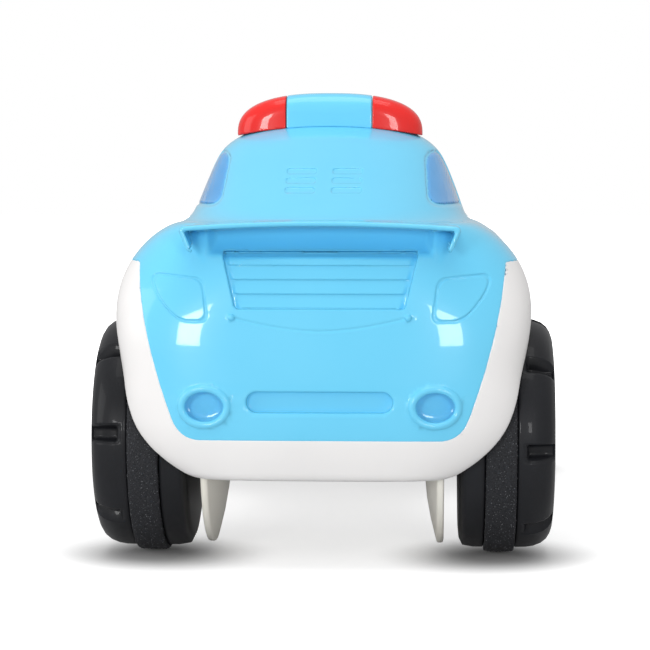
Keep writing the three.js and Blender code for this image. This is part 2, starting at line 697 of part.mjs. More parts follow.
// Light bar on the cab roof: blue middle, a red lens at each end
function makeLightBar() {
  const y0 = BAR_Y - BAR_DEPTH / 2;
  const y1 = BAR_Y + BAR_DEPTH / 2;
  const side = new THREE.Shape();
  const low = CAB_TOP + CLEARANCE;
  side.moveTo(y0, low);
  side.lineTo(y1, low);
  side.lineTo(y1, BAR_TOP - 8);
  side.quadraticCurveTo(y1, BAR_TOP, y1 - 8, BAR_TOP);
  side.lineTo(y0 + 10, BAR_TOP);
  side.quadraticCurveTo(y0, BAR_TOP, y0, BAR_TOP - 10);
  const middle = alongX(side, -BAR_CENTRE_HALF, BAR_CENTRE_HALF);
  const lens = (sign) => {
    const start = BAR_CENTRE_HALF + CLEARANCE;
    const length = BAR_HALF_WIDTH - start;
    const rings = [0, 0.3, 0.55, 0.75, 0.9, 1].map((share) => {
      const fall = Math.sqrt(1 - (share * 0.985) ** 2);
      const halfDepth = (BAR_DEPTH / 2 - 1) * (0.45 + 0.55 * fall);
      const height = (LENS_SHOULDER - low) * (0.2 + 0.8 * fall);
      const ring = [];
      for (let i = 0; i < SMALL_ROUND + 4; i++) {
        const angle = i * Math.PI * 2 / (SMALL_ROUND + 4);
        const across = Math.sign(Math.cos(angle)) * Math.abs(Math.cos(angle)) ** 0.6;
        const rise = Math.sign(Math.sin(angle)) * Math.abs(Math.sin(angle)) ** 0.6;
        ring.push([start + length * share, BAR_Y + halfDepth * across,
          low + height / 2 + height / 2 * rise]);
      }
      return ring;
    });
    const dome = loft(rings);
    return sign > 0 ? dome : dome.mirror([1, 0, 0]);
  };
  return [
    named('light_bar_housing', middle, BLUE, 0.3),
    named('left_beacon_lens', lens(-1), RED, 0.25),
    named('right_beacon_lens', lens(1), RED, 0.25),
  ];
}

// Wheel around X: inner face at -WHEEL_WIDTH / 2, outer face at +WHEEL_WIDTH / 2
function makeWheelSolid(hubReach) {
  const inner = -WHEEL_WIDTH / 2;
  const outer = WHEEL_WIDTH / 2;
  const bore = AXLE_RADIUS + CLEARANCE;
  const tread = WHEEL_BODY_RADIUS;
  const seat = tread - BAND_SEAT;
  const bandHalf = BAND_WIDTH / 2 + CLEARANCE;
  const bandAt = bandCentre();
  const dish = outer - DISH_DEPTH;
  const wall = WALL;
  const profile = [
    [bore, inner - hubReach], [HUB_RADIUS, inner - hubReach], [HUB_RADIUS, inner],
    [tread - 8, inner], [tread, inner + 7], [tread, bandAt - bandHalf], [seat, bandAt - bandHalf], [seat, bandAt + bandHalf],
    [tread, bandAt + bandHalf], [tread, outer - 7], [tread - 7, outer], [tread - 15, outer],
    [tread - 20, dish], [bore, dish], [bore, dish - wall], [tread - RIM_DEPTH - 14, dish - wall],
    [tread - RIM_DEPTH, inner + wall], [bore, inner + wall],
  ];
  let wheel = turnedX(profile);
  for (let k = 0; k < NOTCH_COUNT; k++) {
    const cut = block(outer - NOTCH_LENGTH, outer + 1, -NOTCH_WIDTH / 2, NOTCH_WIDTH / 2,
      tread - NOTCH_DEPTH, tread + 5);
    wheel = wheel.subtract(cut.rotate([360 / NOTCH_COUNT * (k + 0.5), 0, 0]));
  }
  return wheel;
}

// The rubber band sits a little inside the middle of the tread
function bandCentre() {
  return WHEEL_INNER + 27 - (WHEEL_INNER + WHEEL_FACE) / 2;
}

function makeBandSolid() {
  const at = bandCentre();
  const low = WHEEL_BODY_RADIUS - BAND_SEAT + CLEARANCE;
  const half = BAND_WIDTH / 2;
  return turnedX([
    [low, at - half], [WHEEL_RADIUS - 1, at - half], [WHEEL_RADIUS, at], [WHEEL_RADIUS - 1, at + half],
    [low, at + half],
  ]);
}

// Domed hub cap that sits on the dish of the wheel
function makeCapSolid() {
  const seat = WHEEL_WIDTH / 2 - DISH_DEPTH + CLEARANCE;
  const skin = 2;
  return turnedX([
    [CAP_RADIUS, seat], [CAP_RADIUS * 0.7, seat + 9], [0, seat + DISH_DEPTH - 1],
    [0, seat + DISH_DEPTH - 1 - skin], [CAP_RADIUS * 0.7 - 1, seat + 9 - skin], [CAP_RADIUS - skin, seat],
  ], SMALL_ROUND + 4);
}

// Spring-steel push nut on the end of an axle
function makePushNut() {
  const seat = WHEEL_WIDTH / 2 - DISH_DEPTH + CLEARANCE;
  return turnedX([
    [AXLE_RADIUS + CLEARANCE, seat], [AXLE_RADIUS + 5, seat], [AXLE_RADIUS + 5, seat + 1],
    [AXLE_RADIUS + 2, seat + 3], [AXLE_RADIUS + CLEARANCE, seat + 3],
  ], SMALL_ROUND);
}

// One wheel with its band, cap and push nut, standing at its place
function makeWheelSet(prefix, side, y, hubReach) {
  const set = new THREE.Group();
  set.position.set(side * (WHEEL_INNER + WHEEL_FACE) / 2, y, AXLE_Z);
  set.rotation.z = side > 0 ? 0 : Math.PI;
  set.add(named(`${prefix}_wheel`, makeWheelSolid(hubReach), BLACK, 0.6));
  set.add(named(`${prefix}_band`, makeBandSolid(), RUBBER, 0.95));
  set.add(named(`${prefix}_hub_cap`, makeCapSolid(), WHITE, 0.4));
  set.add(named(`${prefix}_push_nut`, makePushNut(), STEEL, 0.35, 0.9));
  return set;
}

// Kingpin, stub axle and steering arm in one forged piece
function makeKnuckle(side) {
  const armZ = TIE_ROD_Z + TIE_ROD_THICKNESS + 1;
  const armTop = armZ + CRANK_THICKNESS + 1;
  const y = FRONT_AXLE_Y;
  const pinY = y - ARM_LENGTH;
  const kingpin = rodZ(KINGPIN_RADIUS, KINGPIN_X, y, armZ, EAR_HIGH + EAR_THICKNESS + 4);
  const collarLow = rodZ(EAR_RADIUS, KINGPIN_X, y, EAR_LOW + EAR_THICKNESS + CLEARANCE,
    EAR_HIGH - CLEARANCE);
  const stub = rodX(AXLE_RADIUS, KINGPIN_X, WHEEL_FACE - AXLE_END_INSET, y, AXLE_Z);
  const arm = block(KINGPIN_X - TIE_ROD_WIDTH / 2, KINGPIN_X + TIE_ROD_WIDTH / 2, pinY, y, armZ, armTop);
  const armEnd = rodZ(TIE_ROD_WIDTH / 2, KINGPIN_X, pinY, armZ, armTop);
  const armRoot = rodZ(TIE_ROD_WIDTH / 2 + 2, KINGPIN_X, y, armZ, armTop);
  const pin = rodZ(PIN_RADIUS, KINGPIN_X, pinY, TIE_ROD_Z - 2, armZ + 1);
  const knuckle = union(kingpin, collarLow, stub, arm, armEnd, armRoot, pin);
  return side > 0 ? knuckle : knuckle.mirror([1, 0, 0]);
}

// Place where the crank pin crosses the tie rod
const CRANK_PIN_DEPTH = STEERING_Z - COLUMN_LENGTH * Math.cos(COLUMN_TILT)
  - CRANK_LENGTH * Math.sin(COLUMN_TILT) - TIE_ROD_Z - TIE_ROD_THICKNESS / 2;
const CRANK_PIN_Y = STEERING_Y + COLUMN_LENGTH * Math.sin(COLUMN_TILT)
  - CRANK_LENGTH * Math.cos(COLUMN_TILT) + CRANK_PIN_DEPTH * Math.tan(COLUMN_TILT);

function makeTieRod() {
  const y = FRONT_AXLE_Y - ARM_LENGTH;
  const top = TIE_ROD_Z + TIE_ROD_THICKNESS;
  const half = TIE_ROD_WIDTH / 2;
  const slotHalf = PIN_RADIUS + 1;
  const bar = block(-KINGPIN_X, KINGPIN_X, y - half, y + half, TIE_ROD_Z, top);
  const ends = [-1, 1].map((side) => rodZ(half + 1, side * KINGPIN_X, y, TIE_ROD_Z, top));
  const plate = alongZ(roundedRectangle(-14, 14, Math.min(y, CRANK_PIN_Y) - half - 5,
    Math.max(y, CRANK_PIN_Y) + half + 5, 6), TIE_ROD_Z, top, 1);
  const slot = alongZ(roundedRectangle(-slotHalf, slotHalf, CRANK_PIN_Y - slotHalf - 5,
    CRANK_PIN_Y + slotHalf + 5, slotHalf / 1.01), TIE_ROD_Z - 1, top + 1, 2);
  let rod = union(bar, ...ends, plate).subtract(slot);
  for (const side of [-1, 1]) {
    rod = rod.subtract(rodZ(PIN_RADIUS + CLEARANCE, side * KINGPIN_X, y, 0, FAR));
  }
  return rod;
}

// Steering column, in the column frame
function makeColumn() {
  const top = -CUP_DEPTH - CLEARANCE;
  const foot = -COLUMN_LENGTH;
  const shaft = rodZ(COLUMN_RADIUS, 0, 0, foot - CRANK_THICKNESS / 2, top);
  const web = block(-5, 5, -CRANK_LENGTH, 0, foot - CRANK_THICKNESS / 2, foot + CRANK_THICKNESS / 2);
  const eye = rodZ(PIN_RADIUS + 3, 0, -CRANK_LENGTH, foot - CRANK_THICKNESS / 2, foot + CRANK_THICKNESS / 2);
  const root = rodZ(COLUMN_RADIUS + 3, 0, 0, foot - CRANK_THICKNESS / 2, foot + CRANK_THICKNESS / 2);
  const reach = (CRANK_PIN_DEPTH + TIE_ROD_THICKNESS / 2 + 1) / Math.cos(COLUMN_TILT);
  const pin = rodZ(PIN_RADIUS, 0, -CRANK_LENGTH, foot - reach, foot);
  return union(shaft, web, eye, root, pin);
}

// Flanged bush where the column passes the cowl
function makeColumnBush() {
  const bore = COLUMN_RADIUS + CLEARANCE;
  const sleeve = COLUMN_RADIUS + BUSH_WALL;
  const rim = sleeve + BUSH_FLANGE;
  return turned([
    [bore, BUSH_SEAT - BUSH_LENGTH], [sleeve, BUSH_SEAT - BUSH_LENGTH], [sleeve, BUSH_SEAT], [rim, BUSH_SEAT],
    [rim, BUSH_SEAT + BUSH_LIP], [bore, BUSH_SEAT + BUSH_LIP],
  ], SMALL_ROUND);
}

// The tilted flange rests on the flat top of the cowl with its rear edge
const BUSH_SEAT = -(STEERING_Z - COWL_TOP - CLEARANCE
  - (COLUMN_RADIUS + BUSH_WALL + BUSH_FLANGE) * Math.sin(COLUMN_TILT)) / Math.cos(COLUMN_TILT);
const BOSS_FOOT = BUSH_SEAT + BUSH_LIP + CLEARANCE;

// Rim, three spokes and the module cup, in the column frame
function makeSteeringWheel() {
  const rim = solid(new THREE.TorusGeometry(STEERING_RADIUS, RIM_TUBE, 7, ROUND));
  const inner = CUP_RADIUS - CUP_WALL;
  const bottom = -CUP_DEPTH;
  const socket = COLUMN_RADIUS + CLEARANCE;
  const cup = turned([
    [0, bottom], [socket, bottom], [socket, BOSS_FOOT], [socket + 5, BOSS_FOOT],
    [socket + 6, bottom], [CUP_RADIUS - 3, bottom], [CUP_RADIUS, bottom + 4], [CUP_RADIUS, CUP_RIM],
    [inner, CUP_RIM], [inner, BOARD_HEIGHT], [inner - LEDGE_WIDTH, BOARD_HEIGHT],
    [inner - LEDGE_WIDTH, BOARD_HEIGHT - 2], [inner, BOARD_HEIGHT - 2 - LEDGE_WIDTH],
    [inner, bottom + CUP_WALL], [0, bottom + CUP_WALL],
  ]);
  let wheel = union(rim, cup);
  for (const angle of [90, 210, 330]) {
    const spoke = block(CUP_RADIUS - 2, STEERING_RADIUS - 2, -9, 9, -5, CUP_RIM);
    wheel = wheel.add(spoke.rotate([0, 0, angle]));
  }
  const hatch = doorOutline(0);
  wheel = wheel.subtract(alongZ(hatch, bottom - 1, bottom + CUP_WALL + 1, 1));
  for (let k = -2; k <= 2; k++) {
    const x = k * 4.5;
    wheel = wheel.subtract(block(x - 1, x + 1, SPEAKER_Y - 7, SPEAKER_Y + 4, bottom - 1, bottom + CUP_WALL + 1));
  }
  return wheel;
}

// Battery hatch in the floor of the cup
function doorOutline(shrink) {
  const inner = HUB_RADIUS - 0.5 + shrink;
  return roundedRectangle(-CELL_LENGTH / 2 + 2 + shrink, CELL_LENGTH / 2 - 2 - shrink, inner,
    CUP_RADIUS - CUP_WALL - 8 - shrink, 3);
}

function makeMusicCover() {
  const base = CUP_RIM + CLEARANCE;
  const top = base + COVER_HEIGHT;
  const edge = CUP_RADIUS;
  let cover = turned([
    [0, top], [edge * 0.6, top - 0.6], [edge - 4, top - 3], [edge, base + 3], [edge, base],
    [edge - COVER_WALL - 1, base], [edge - COVER_WALL - 1, base + 3], [edge - 5, top - 3 - COVER_WALL],
    [0, top - 3 - COVER_WALL],
  ]);
  cover = cover.subtract(rodZ(HORN_RADIUS + CLEARANCE, 0, 0, base, FAR, ROUND));
  for (const side of [-1, 1]) {
    cover = cover.subtract(rodZ(MELODY_RADIUS + CLEARANCE, side * MELODY_X, 0, base, FAR));
  }
  return cover.subtract(block(-SWITCH_TRAVEL / 2 - 3 - CLEARANCE, SWITCH_TRAVEL / 2 + 3 + CLEARANCE,
    SWITCH_Y - 2 - CLEARANCE, SWITCH_Y + 2 + CLEARANCE, base, FAR));
}

const COVER_TOP = CUP_RIM + CLEARANCE + COVER_HEIGHT;
const COVER_UNDERSIDE = COVER_TOP - 3 - COVER_WALL;
const SWITCH_Y = -25;

// Button with a retaining flange under the cover and a plunger over the board
function makeButton(radius) {
  const top = COVER_TOP + BUTTON_PROUD;
  const flange = COVER_UNDERSIDE - CLEARANCE;
  const board = BOARD_HEIGHT + CLEARANCE + BOARD_THICKNESS;
  return turned([
    [0, top], [radius - 2, top - 0.8], [radius, top - 2.5], [radius, flange],
    [radius + FLANGE_WIDTH, flange], [radius + FLANGE_WIDTH, flange - 1.5], [3, flange - 1.5],
    [3, board + BUTTON_TRAVEL + CLEARANCE], [0, board + BUTTON_TRAVEL + CLEARANCE],
  ], radius > 10 ? ROUND : SMALL_ROUND);
}

function makeSwitch() {
  const flange = COVER_UNDERSIDE - CLEARANCE;
  const x = -SWITCH_TRAVEL / 2;
  const knob = block(x - 3, x + 3, SWITCH_Y - 2, SWITCH_Y + 2, flange - 1, COVER_TOP + 1);
  const foot = block(x - 6, x + 6, SWITCH_Y - 3.5, SWITCH_Y + 3.5, flange - 2, flange);
  return union(knob, foot);
}

function makeModule() {
  const bottom = -CUP_DEPTH + CUP_WALL + CLEARANCE;
  const boardLow = BOARD_HEIGHT + CLEARANCE;
  const board = rodZ(CUP_RADIUS - CUP_WALL - CLEARANCE, 0, 0, boardLow, boardLow + BOARD_THICKNESS, ROUND);
  const speaker = turned([
    [0, bottom], [SPEAKER_RADIUS, bottom], [SPEAKER_RADIUS, bottom + 2.5],
    [SPEAKER_RADIUS * 0.55, bottom + SPEAKER_HEIGHT - 2], [SPEAKER_RADIUS * 0.55, bottom + SPEAKER_HEIGHT],
    [0, bottom + SPEAKER_HEIGHT],
  ], SMALL_ROUND + 4).translate([0, SPEAKER_Y, 0]);
  const cellAt = [CELL_RADIUS + 4, 3 * CELL_RADIUS + 4.8];
  const cells = cellAt.map((y) => turnedX([
    [0, -CELL_LENGTH / 2], [CELL_RADIUS - 0.5, -CELL_LENGTH / 2], [CELL_RADIUS, -CELL_LENGTH / 2 + 0.8],
    [CELL_RADIUS, CELL_LENGTH / 2 - 1.8], [CELL_RADIUS - 0.5, CELL_LENGTH / 2 - 1], [2, CELL_LENGTH / 2 - 1],
    [2, CELL_LENGTH / 2], [0, CELL_LENGTH / 2],
  ], SMALL_ROUND).translate([0, y, bottom + CELL_RADIUS]));
  const door = alongZ(doorOutline(CLEARANCE), -CUP_DEPTH, -CUP_DEPTH + CUP_WALL, 1);
  return [
    named('circuit_board', board, BOARD_GREEN, 0.5),
    named('speaker', speaker, BLACK, 0.6),
    named('battery_left', cells[0], STEEL, 0.35, 0.6),
    named('battery_right', cells[1], STEEL, 0.35, 0.6),
    named('battery_door', door, WHITE, 0.45),
  ];
}

function makeSteeringGroup() {
  const group = new THREE.Group();
  group.applyMatrix4(COLUMN_FRAME);
  group.add(named('steering_column', makeColumn(), STEEL, 0.35, 0.9));
  group.add(named('column_bush', makeColumnBush(), WHITE, 0.5));
  group.add(named('steering_wheel', makeSteeringWheel(), WHITE, 0.4));
  group.add(named('music_cover', makeMusicCover(), BLUE, 0.35));
  group.add(named('horn_button', makeButton(HORN_RADIUS), RED, 0.35));
  for (const [word, side] of [['left', -1], ['right', 1]]) {
    const button = makeButton(MELODY_RADIUS).translate([side * MELODY_X, 0, 0]);
    group.add(named(`melody_button_${word}`, button, YELLOW, 0.35));
  }
  group.add(named('power_switch', makeSwitch(), BLACK, 0.5));
  group.add(...makeModule());
  return group;
}

const car = new THREE.Group();
car.add(named('chassis', makeChassis(), WHITE, 0.4));
car.add(named('body_shell', makeShell(), BLUE, 0.3));
car.add(...makeLightBar());
car.add(named('seat_lid', makeSeatLid(), WHITE, 0.4));
car.add(named('seat_hinge_pin', rodX(HINGE_PIN_RADIUS, -HINGE_BARREL_HALF - HINGE_LUG_WIDTH,
  HINGE_BARREL_HALF + HINGE_LUG_WIDTH, HINGE_Y, HINGE_Z), STEEL, 0.35, 0.9));
car.add(named('rear_axle', rodX(AXLE_RADIUS, -WHEEL_FACE + AXLE_END_INSET, WHEEL_FACE - AXLE_END_INSET,
  REAR_AXLE_Y, AXLE_Z), STEEL, 0.35, 0.9));
const rearReach = WHEEL_INNER - GUARD_FACE - CLEARANCE;
car.add(makeWheelSet('rear_left', -1, REAR_AXLE_Y, rearReach));
car.add(makeWheelSet('rear_right', 1, REAR_AXLE_Y, rearReach));
car.add(makeWheelSet('front_left', -1, FRONT_AXLE_Y, 0));
car.add(makeWheelSet('front_right', 1, FRONT_AXLE_Y, 0));
car.add(named('left_knuckle', makeKnuckle(-1), STEEL, 0.4, 0.8));
car.add(named('right_knuckle', makeKnuckle(1), STEEL, 0.4, 0.8));
car.add(named('tie_rod', makeTieRod(), STEEL, 0.4, 0.8));
car.add(makeSteeringGroup());

export default car;
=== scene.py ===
import json
import math

import bmesh
import bpy
import numpy as np
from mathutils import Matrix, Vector


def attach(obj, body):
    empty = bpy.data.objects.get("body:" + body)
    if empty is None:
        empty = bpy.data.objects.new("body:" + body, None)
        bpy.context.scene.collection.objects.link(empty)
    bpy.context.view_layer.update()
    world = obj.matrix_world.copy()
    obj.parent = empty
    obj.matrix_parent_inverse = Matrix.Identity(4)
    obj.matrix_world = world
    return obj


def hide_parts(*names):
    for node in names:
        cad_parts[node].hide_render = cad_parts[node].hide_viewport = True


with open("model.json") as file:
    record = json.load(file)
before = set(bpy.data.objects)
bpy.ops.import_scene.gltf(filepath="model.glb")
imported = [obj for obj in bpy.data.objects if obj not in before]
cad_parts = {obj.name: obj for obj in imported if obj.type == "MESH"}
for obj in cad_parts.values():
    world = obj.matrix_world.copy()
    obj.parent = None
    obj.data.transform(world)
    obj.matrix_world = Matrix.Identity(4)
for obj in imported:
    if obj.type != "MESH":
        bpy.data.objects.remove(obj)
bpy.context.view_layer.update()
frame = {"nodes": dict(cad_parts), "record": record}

# Sizes are in millimetres and turned into metres when a mesh is made
MM = 0.001

# Lower hull
REAR, FRONT, END_MARGIN = -300.0, 300.0, 0.02
HULL_BOTTOM, BULGE_START, BULGE_HEIGHT, DECK_HEIGHT = 59.0, 120.0, 165.0, 222.0
BOTTOM_HALF, SKIRT_HALF, FENDER_HALF, DECK_HALF = 90.0, 129.5, 134.6, 94.0
SKIRT_RUN, SKIRT_POWER, SHOULDER_POWER, SHOULDER_FULLNESS = 60.0, 2.8, 2.2, 0.7
REAR_CORNER, NOSE_CORNER, REAR_POWER, NOSE_POWER = 70.0, 120.0, 3.5, 2.6
SQUARE_POWER, SQUARE_HEIGHT, SOFT_POWER, SOFT_HEIGHT = 4.6, 140.0, 2.7, 212.0
REAR_TUCK, NOSE_TUCK, PANEL_INSET = (7.0, 10.0), (10.0, 40.0), 2.3
TUCK_LOW_RUN, TUCK_HIGH_START, TUCK_HIGH_POWER = 37.0, 110.0, 1.5
WAIST_SHARE, WAIST_REAR_RUN, WAIST_FRONT_RUN, WAIST_OVERRUN = 0.36, 60.0, 55.0, 10.0
BACKREST_Y, DASH_Y = -112.0, 62.0
DECK_ROUND, KEEL_ROUND = 3.0, 5.0

# Cab, cowl and seat bay
CAB_TOP, CAB_TOP_REAR, CAB_TOP_FRONT, ROOF_CROWN = 286.0, -166.0, -128.0, 340.0
CAB_LEAN, CAB_CURL, CAB_FOOT_INSET, CAB_SKIRT = 23.0, 12.0, 2.0, -0.4
CAB_REAR_CORNER, CAB_FRONT_CORNER, CAB_POWER = 130.0, 22.0, 2.4
SEAT_DECK, COWL_TOP, COWL_FOOT = 203.0, 222.0, 20.0
COWL_HALF, COWL_LEAN, COWL_CURL, COWL_REAR_LEAN = 104.0, 20.0, 34.0, 6.0
COWL_FOOT_GAP, COWL_LENGTH, COWL_REAR_CORNER, COWL_NOSE_CORNER = 60.0, 90.0, 30.0, 80.0
BONNET_REAR_HEIGHT, BONNET_NOSE_HEIGHT, BONNET_OVERRUN, DASH_EASE = 212.0, 188.0, 20.0, 6.0
BIN_HALF, BIN_REAR, BIN_FRONT, BIN_FLOOR = 56.0, -94.0, 24.0, 70.0
BIN_CORNER, BIN_FLOOR_ROUND, BIN_EDGE = 16.0, 6.0, 2.0
SINK, SINK_ROUND, ROOF_ROUND, COWL_ROUND, BACKREST_ROUND = 25.0, 2.0, 14.0, 10.0, 4.0
BAY_BLEND, COWL_BLEND, CAB_BLEND = 8.0, 8.0, 6.0

# Parting line between the white tub and the blue shell
SPLIT_REAR, SPLIT_WAIST, SPLIT_NOSE, SPLIT_RISE = 197.0, 150.0, 182.0, 45.0
SPLIT_REAR_SHIFT, SPLIT_NOSE_SHIFT = 10.0, 5.0
TONGUE_BOTTOM, TONGUE_LOW_HALF, TONGUE_TOP_HALF = 86.0, 88.0, 117.0
TONGUE_DEPTH, TONGUE_CORNER, TONGUE_BELLY, TONGUE_OVERRUN = 58.0, 12.8, 0.6, 1.2
PARTING_GAP, PARTING_EDGE, PARTING_ROUND = -0.3, 1.2, 1.5

# Wheels, wells and steering
REAR_AXLE_Y, FRONT_AXLE_Y, AXLE_Z = -195.0, 180.0, 80.0
REAR_ARCH, FRONT_ARCH_LENGTH, FRONT_ARCH_HEIGHT, ARCH_ROUND = 83.0, 106.0, 88.0, 4.0
GUARD_FACE, SPINE_HALF = 78.5, 52.0
STEERING_Y, STEERING_Z, COLUMN_TILT = 115.0, 262.0, math.radians(18.4)
COLUMN_BORE = 9.4

# Slot, exhaust rings and grille of the rear panel
PANEL_REACH = 60.0
SLOT_HALF, SLOT_Z, SLOT_HEIGHT, SLOT_DEPTH, SLOT_ROUND, SLOT_EDGE = 46.0, 110.2, 13.2, 5.0, 2.0, 1.4
RING_X, RING_Z, RING_BEAD, RING_PROUD, RING_DEPTH = 72.6, 107.2, 2.5, 2.2, 9.0
RING_HALF_WIDE, RING_HALF_TALL, BOWL_ROUND, BOWL_EDGE, BEAD_BLEND = 14.5, 11.6, 6.0, 1.0, 0.8
GRILLE_TOP, GRILLE_BOTTOM, GRILLE_TOP_HALF, GRILLE_BOTTOM_HALF = 204.4, 168.4, 62.0, 53.5
GRILLE_DEPTH, GRILLE_CORNER, GRILLE_EDGE, GRILLE_OVERRUN = 3.4, 3.0, 0.8, 0.2
GRILLE_SLATS, SLAT_STEP, SLAT_EASE, SLAT_END_NEAR, SLAT_END_FAR = 4, 1.9, 0.1, 1.0, 4.5

# Lip under the rear window and the cove below it
SPOILER_HALF, SPOILER_Z, SPOILER_THICK, SPOILER_DROP, SPOILER_ARCH = 88.0, 220.6, 3.2, 15.0, 3.4
LIP_INSET, LIP_REACH, LIP_WALL, LIP_LEAN, LIP_RISE = 1.6, 32.0, 3.2, 0.4, 0.3
LIP_CORNER, LIP_NOSE, LIP_ROUND, LIP_EDGE, LIP_FOLD, LIP_BLEND = 3.0, 2.2, 2.0, 1.5, 1.2, 1.5
COVE_DEPTH, COVE_HEIGHT, COVE_HALF, COVE_START = 26.0, 18.0, 85.0, 3.0
COVE_END_START, COVE_END_SLANT, COVE_ROUND, COVE_TOP_ROUND, COVE_EDGE = 2.0, 0.6, 2.0, 0.6, 2.5

# Lamp outlines, crease with its pins, vents and quarter windows
LAMP_TOP, LAMP_TOP_X, LAMP_TOP_SLOPE, LAMP_BOTTOM = 187.3, 74.5, 0.09, 160.8
LAMP_INNER, LAMP_INNER_Z, LAMP_INNER_SLOPE = 71.0, 163.0, 0.14
LAMP_OUTER, LAMP_CURL, LAMP_CURL_Z, LAMP_CURL_RUN = 106.5, 18.0, 187.0, 26.0
LAMP_CURL_POWER, LAMP_OUTER_SCALE, LAMP_CORNER, LAMP_ROUND = 1.6, 0.9, 4.0, 6.0
LAMP_GROOVE, LAMP_EDGE = 0.85, 0.6
CREASE, CREASE_DIP, CREASE_POWER, CREASE_PROUD, CREASE_EDGE = 1.0, 8.6, 1.7, 0.55, 0.5
PIN_X, PIN_Z, PIN_RADIUS, PIN_BLEND = 55.5, 163.4, 2.2, 0.8
VENT_X, VENT_HALF, VENT_Z, VENT_PITCH, VENT_ROWS = 15.0, 9.8, 242.3, 6.1, 3
VENT_TALL, VENT_DEPTH, VENT_ROUND, VENT_EDGE = 1.8, 1.7, 1.4, 1.0
WINDOW_FRONT, WINDOW_REAR, WINDOW_FOOT, WINDOW_TOP = -148.0, -236.0, 232.0, 268.0
WINDOW_FRONT_LEAN, WINDOW_REAR_LEAN, WINDOW_REAR_SCALE = 0.08, 1.72, 0.5
WINDOW_CORNER, WINDOW_END_CORNER, WINDOW_DEPTH, WINDOW_ROUND, WINDOW_EDGE = 8.0, 6.0, 1.4, 1.0, 2.5
PANE_INNER, PANE_PROUD, PANE_GAP, PANE_THICK, PANE_EDGE = 56.0, 0.7, 0.8, 1.5, 1.2

# Seat lid and its hinge
LID_HALF, LID_REAR, LID_FRONT, LID_CORNER = 66.0, -98.8, 31.2, 22.0
LID_BOTTOM, LID_TOP, LID_HOLLOW, LID_HOLLOW_RADIUS = 203.35, 212.35, 4.0, 260.0
LID_HOLLOW_EDGE, LID_ROUND, LID_EDGE, LID_BLEND = 6.0, 5.0, 1.0, 1.5
HINGE_Y, HINGE_Z, BARREL_RADIUS, BARREL_HALF, PIN_BORE = -105.8, 208.35, 5.0, 46.0, 2.85
BARREL_CLEARANCE, BARREL_END_CLEARANCE, HINGE_EDGE = 1.2, 0.4, 1.0
STRAP_LIFT, STRAP_OVERLAP = 1.0, 4.0
RIB_DROP, RIB_SINK, RIB_INSET, RIB_SETBACK, RIB_HALF = 5.0, 1.0, 18.0, 2.5, 1.5
LUG_RADIUS, LUG_HALF, LUG_GAP, LUG_SINK = 5.4, 4.0, 0.6, 3.0

# Steering wheel, music cup and kingpin ears
STEERING_RADIUS, RIM_TUBE = 62.0, 7.9
SPOKE_TURNS, SPOKE_HALF, SPOKE_FLARE, SPOKE_FLARE_START = (90, 210, 330), 9.0, 0.2, 50.0
SPOKE_DROP, SPOKE_THICK_HALF, SPOKE_SINK, SPOKE_ROUND = 1.5, 3.5, 3.0, 3.0
CUP_RADIUS, CUP_WALL, CUP_DEPTH, CUP_RIM, BOARD_HEIGHT, LEDGE = 40.0, 3.0, 22.0, 2.0, -3.0, 4.0
CUP_RIM_ROUND, CUP_FOOT_ROUND, CUP_BLEND, LEDGE_THICK = 1.0, 4.0, 2.0, 2.0
COLUMN_SOCKET, BOSS_FOOT, BOSS_WALL, BOSS_SINK, SPEAKER_Y = 6.35, -35.0, 5.0, 1.0, -17.0
HATCH_HALF, HATCH_NEAR, HATCH_FAR = 20.2, 13.5, 29.0
SLIT_PITCH, SLIT_HALF, SLITS_HALF, SLITS_NEAR, SLITS_FAR = 4.5, 1.0, 10.5, 7.0, 4.0
SLIT_PHASE, CUT_OVERRUN = 11.25, 1.0
KINGPIN_X, KINGPIN_BORE, EAR_RADIUS, EAR_THICK, EAR_LOW, EAR_HIGH = 78.0, 6.35, 9.0, 6.0, 62.0, 115.0
EAR_SINK, EAR_EDGE = 4.0, 1.2

# Wheels and finger guards, with X measured from the middle of the car
WHEEL_INNER, WHEEL_FACE, WHEEL_WEB, AXLE_BORE, TREAD = 88.0, 150.0, 138.0, 5.6, 76.5
REAR_HUB_INNER = 79.2
GROOVE_NEAR, GROOVE_FAR, TYRE_SIDES, TYRE_REACH = 104.6, 125.4, 320, 3.0
NOTCHES, NOTCH_START, NOTCH_HALF, NOTCH_DEPTH = 8, 132.0, 4.8, 11.0
NOTCH_WALL, NOTCH_RAMP, NOTCH_END_START, NOTCH_END, NOTCH_REACH = 0.5, 0.6, 148.4, 149.6, 2.5
BAND_SIDES, CAP_SIDES, GUARD_SIDES = 160, 96, 144
GRAINS_PER_AREA, GRAIN_RADIUS, SMALLEST_GRAIN, FIRST_GRAIN_SEED = 150000.0, 0.0004, 0.45, 7
GUARD_RADIUS, GUARD_THICK, GUARD_TIP = 74.0, 12.0, 4.8

# Light bar
BAR_HALF, BAR_CENTRE_HALF, BAR_Y, BAR_HALF_DEPTH, BAR_FOOT, BAR_RISE = 64.0, 29.0, -148.0, 15.0, 280.0, 27.6
BAR_POWER, BAR_END_TAPER, BAR_OVERRUN, BAR_SINK = 2.5, 0.35, 1.2, 1.5
BAR_ROUND, BAR_FOOT_EDGE, LENS_GAP, LENS_EDGE = 14.0, 0.6, 0.5, 0.8


def smoothstep(low, high, value):
    t = np.clip((value - low) / (high - low), 0, 1)
    return t * t * (3 - 2 * t)


def soft_min(a, b, reach):
    h = np.clip(0.5 + 0.5 * (b - a) / reach, 0, 1)
    return b + (a - b) * h - reach * h * (1 - h)


def soft_max(a, b, reach):
    return -soft_min(-a, -b, reach)


def lerp(a, b, t):
    return a + (b - a) * t


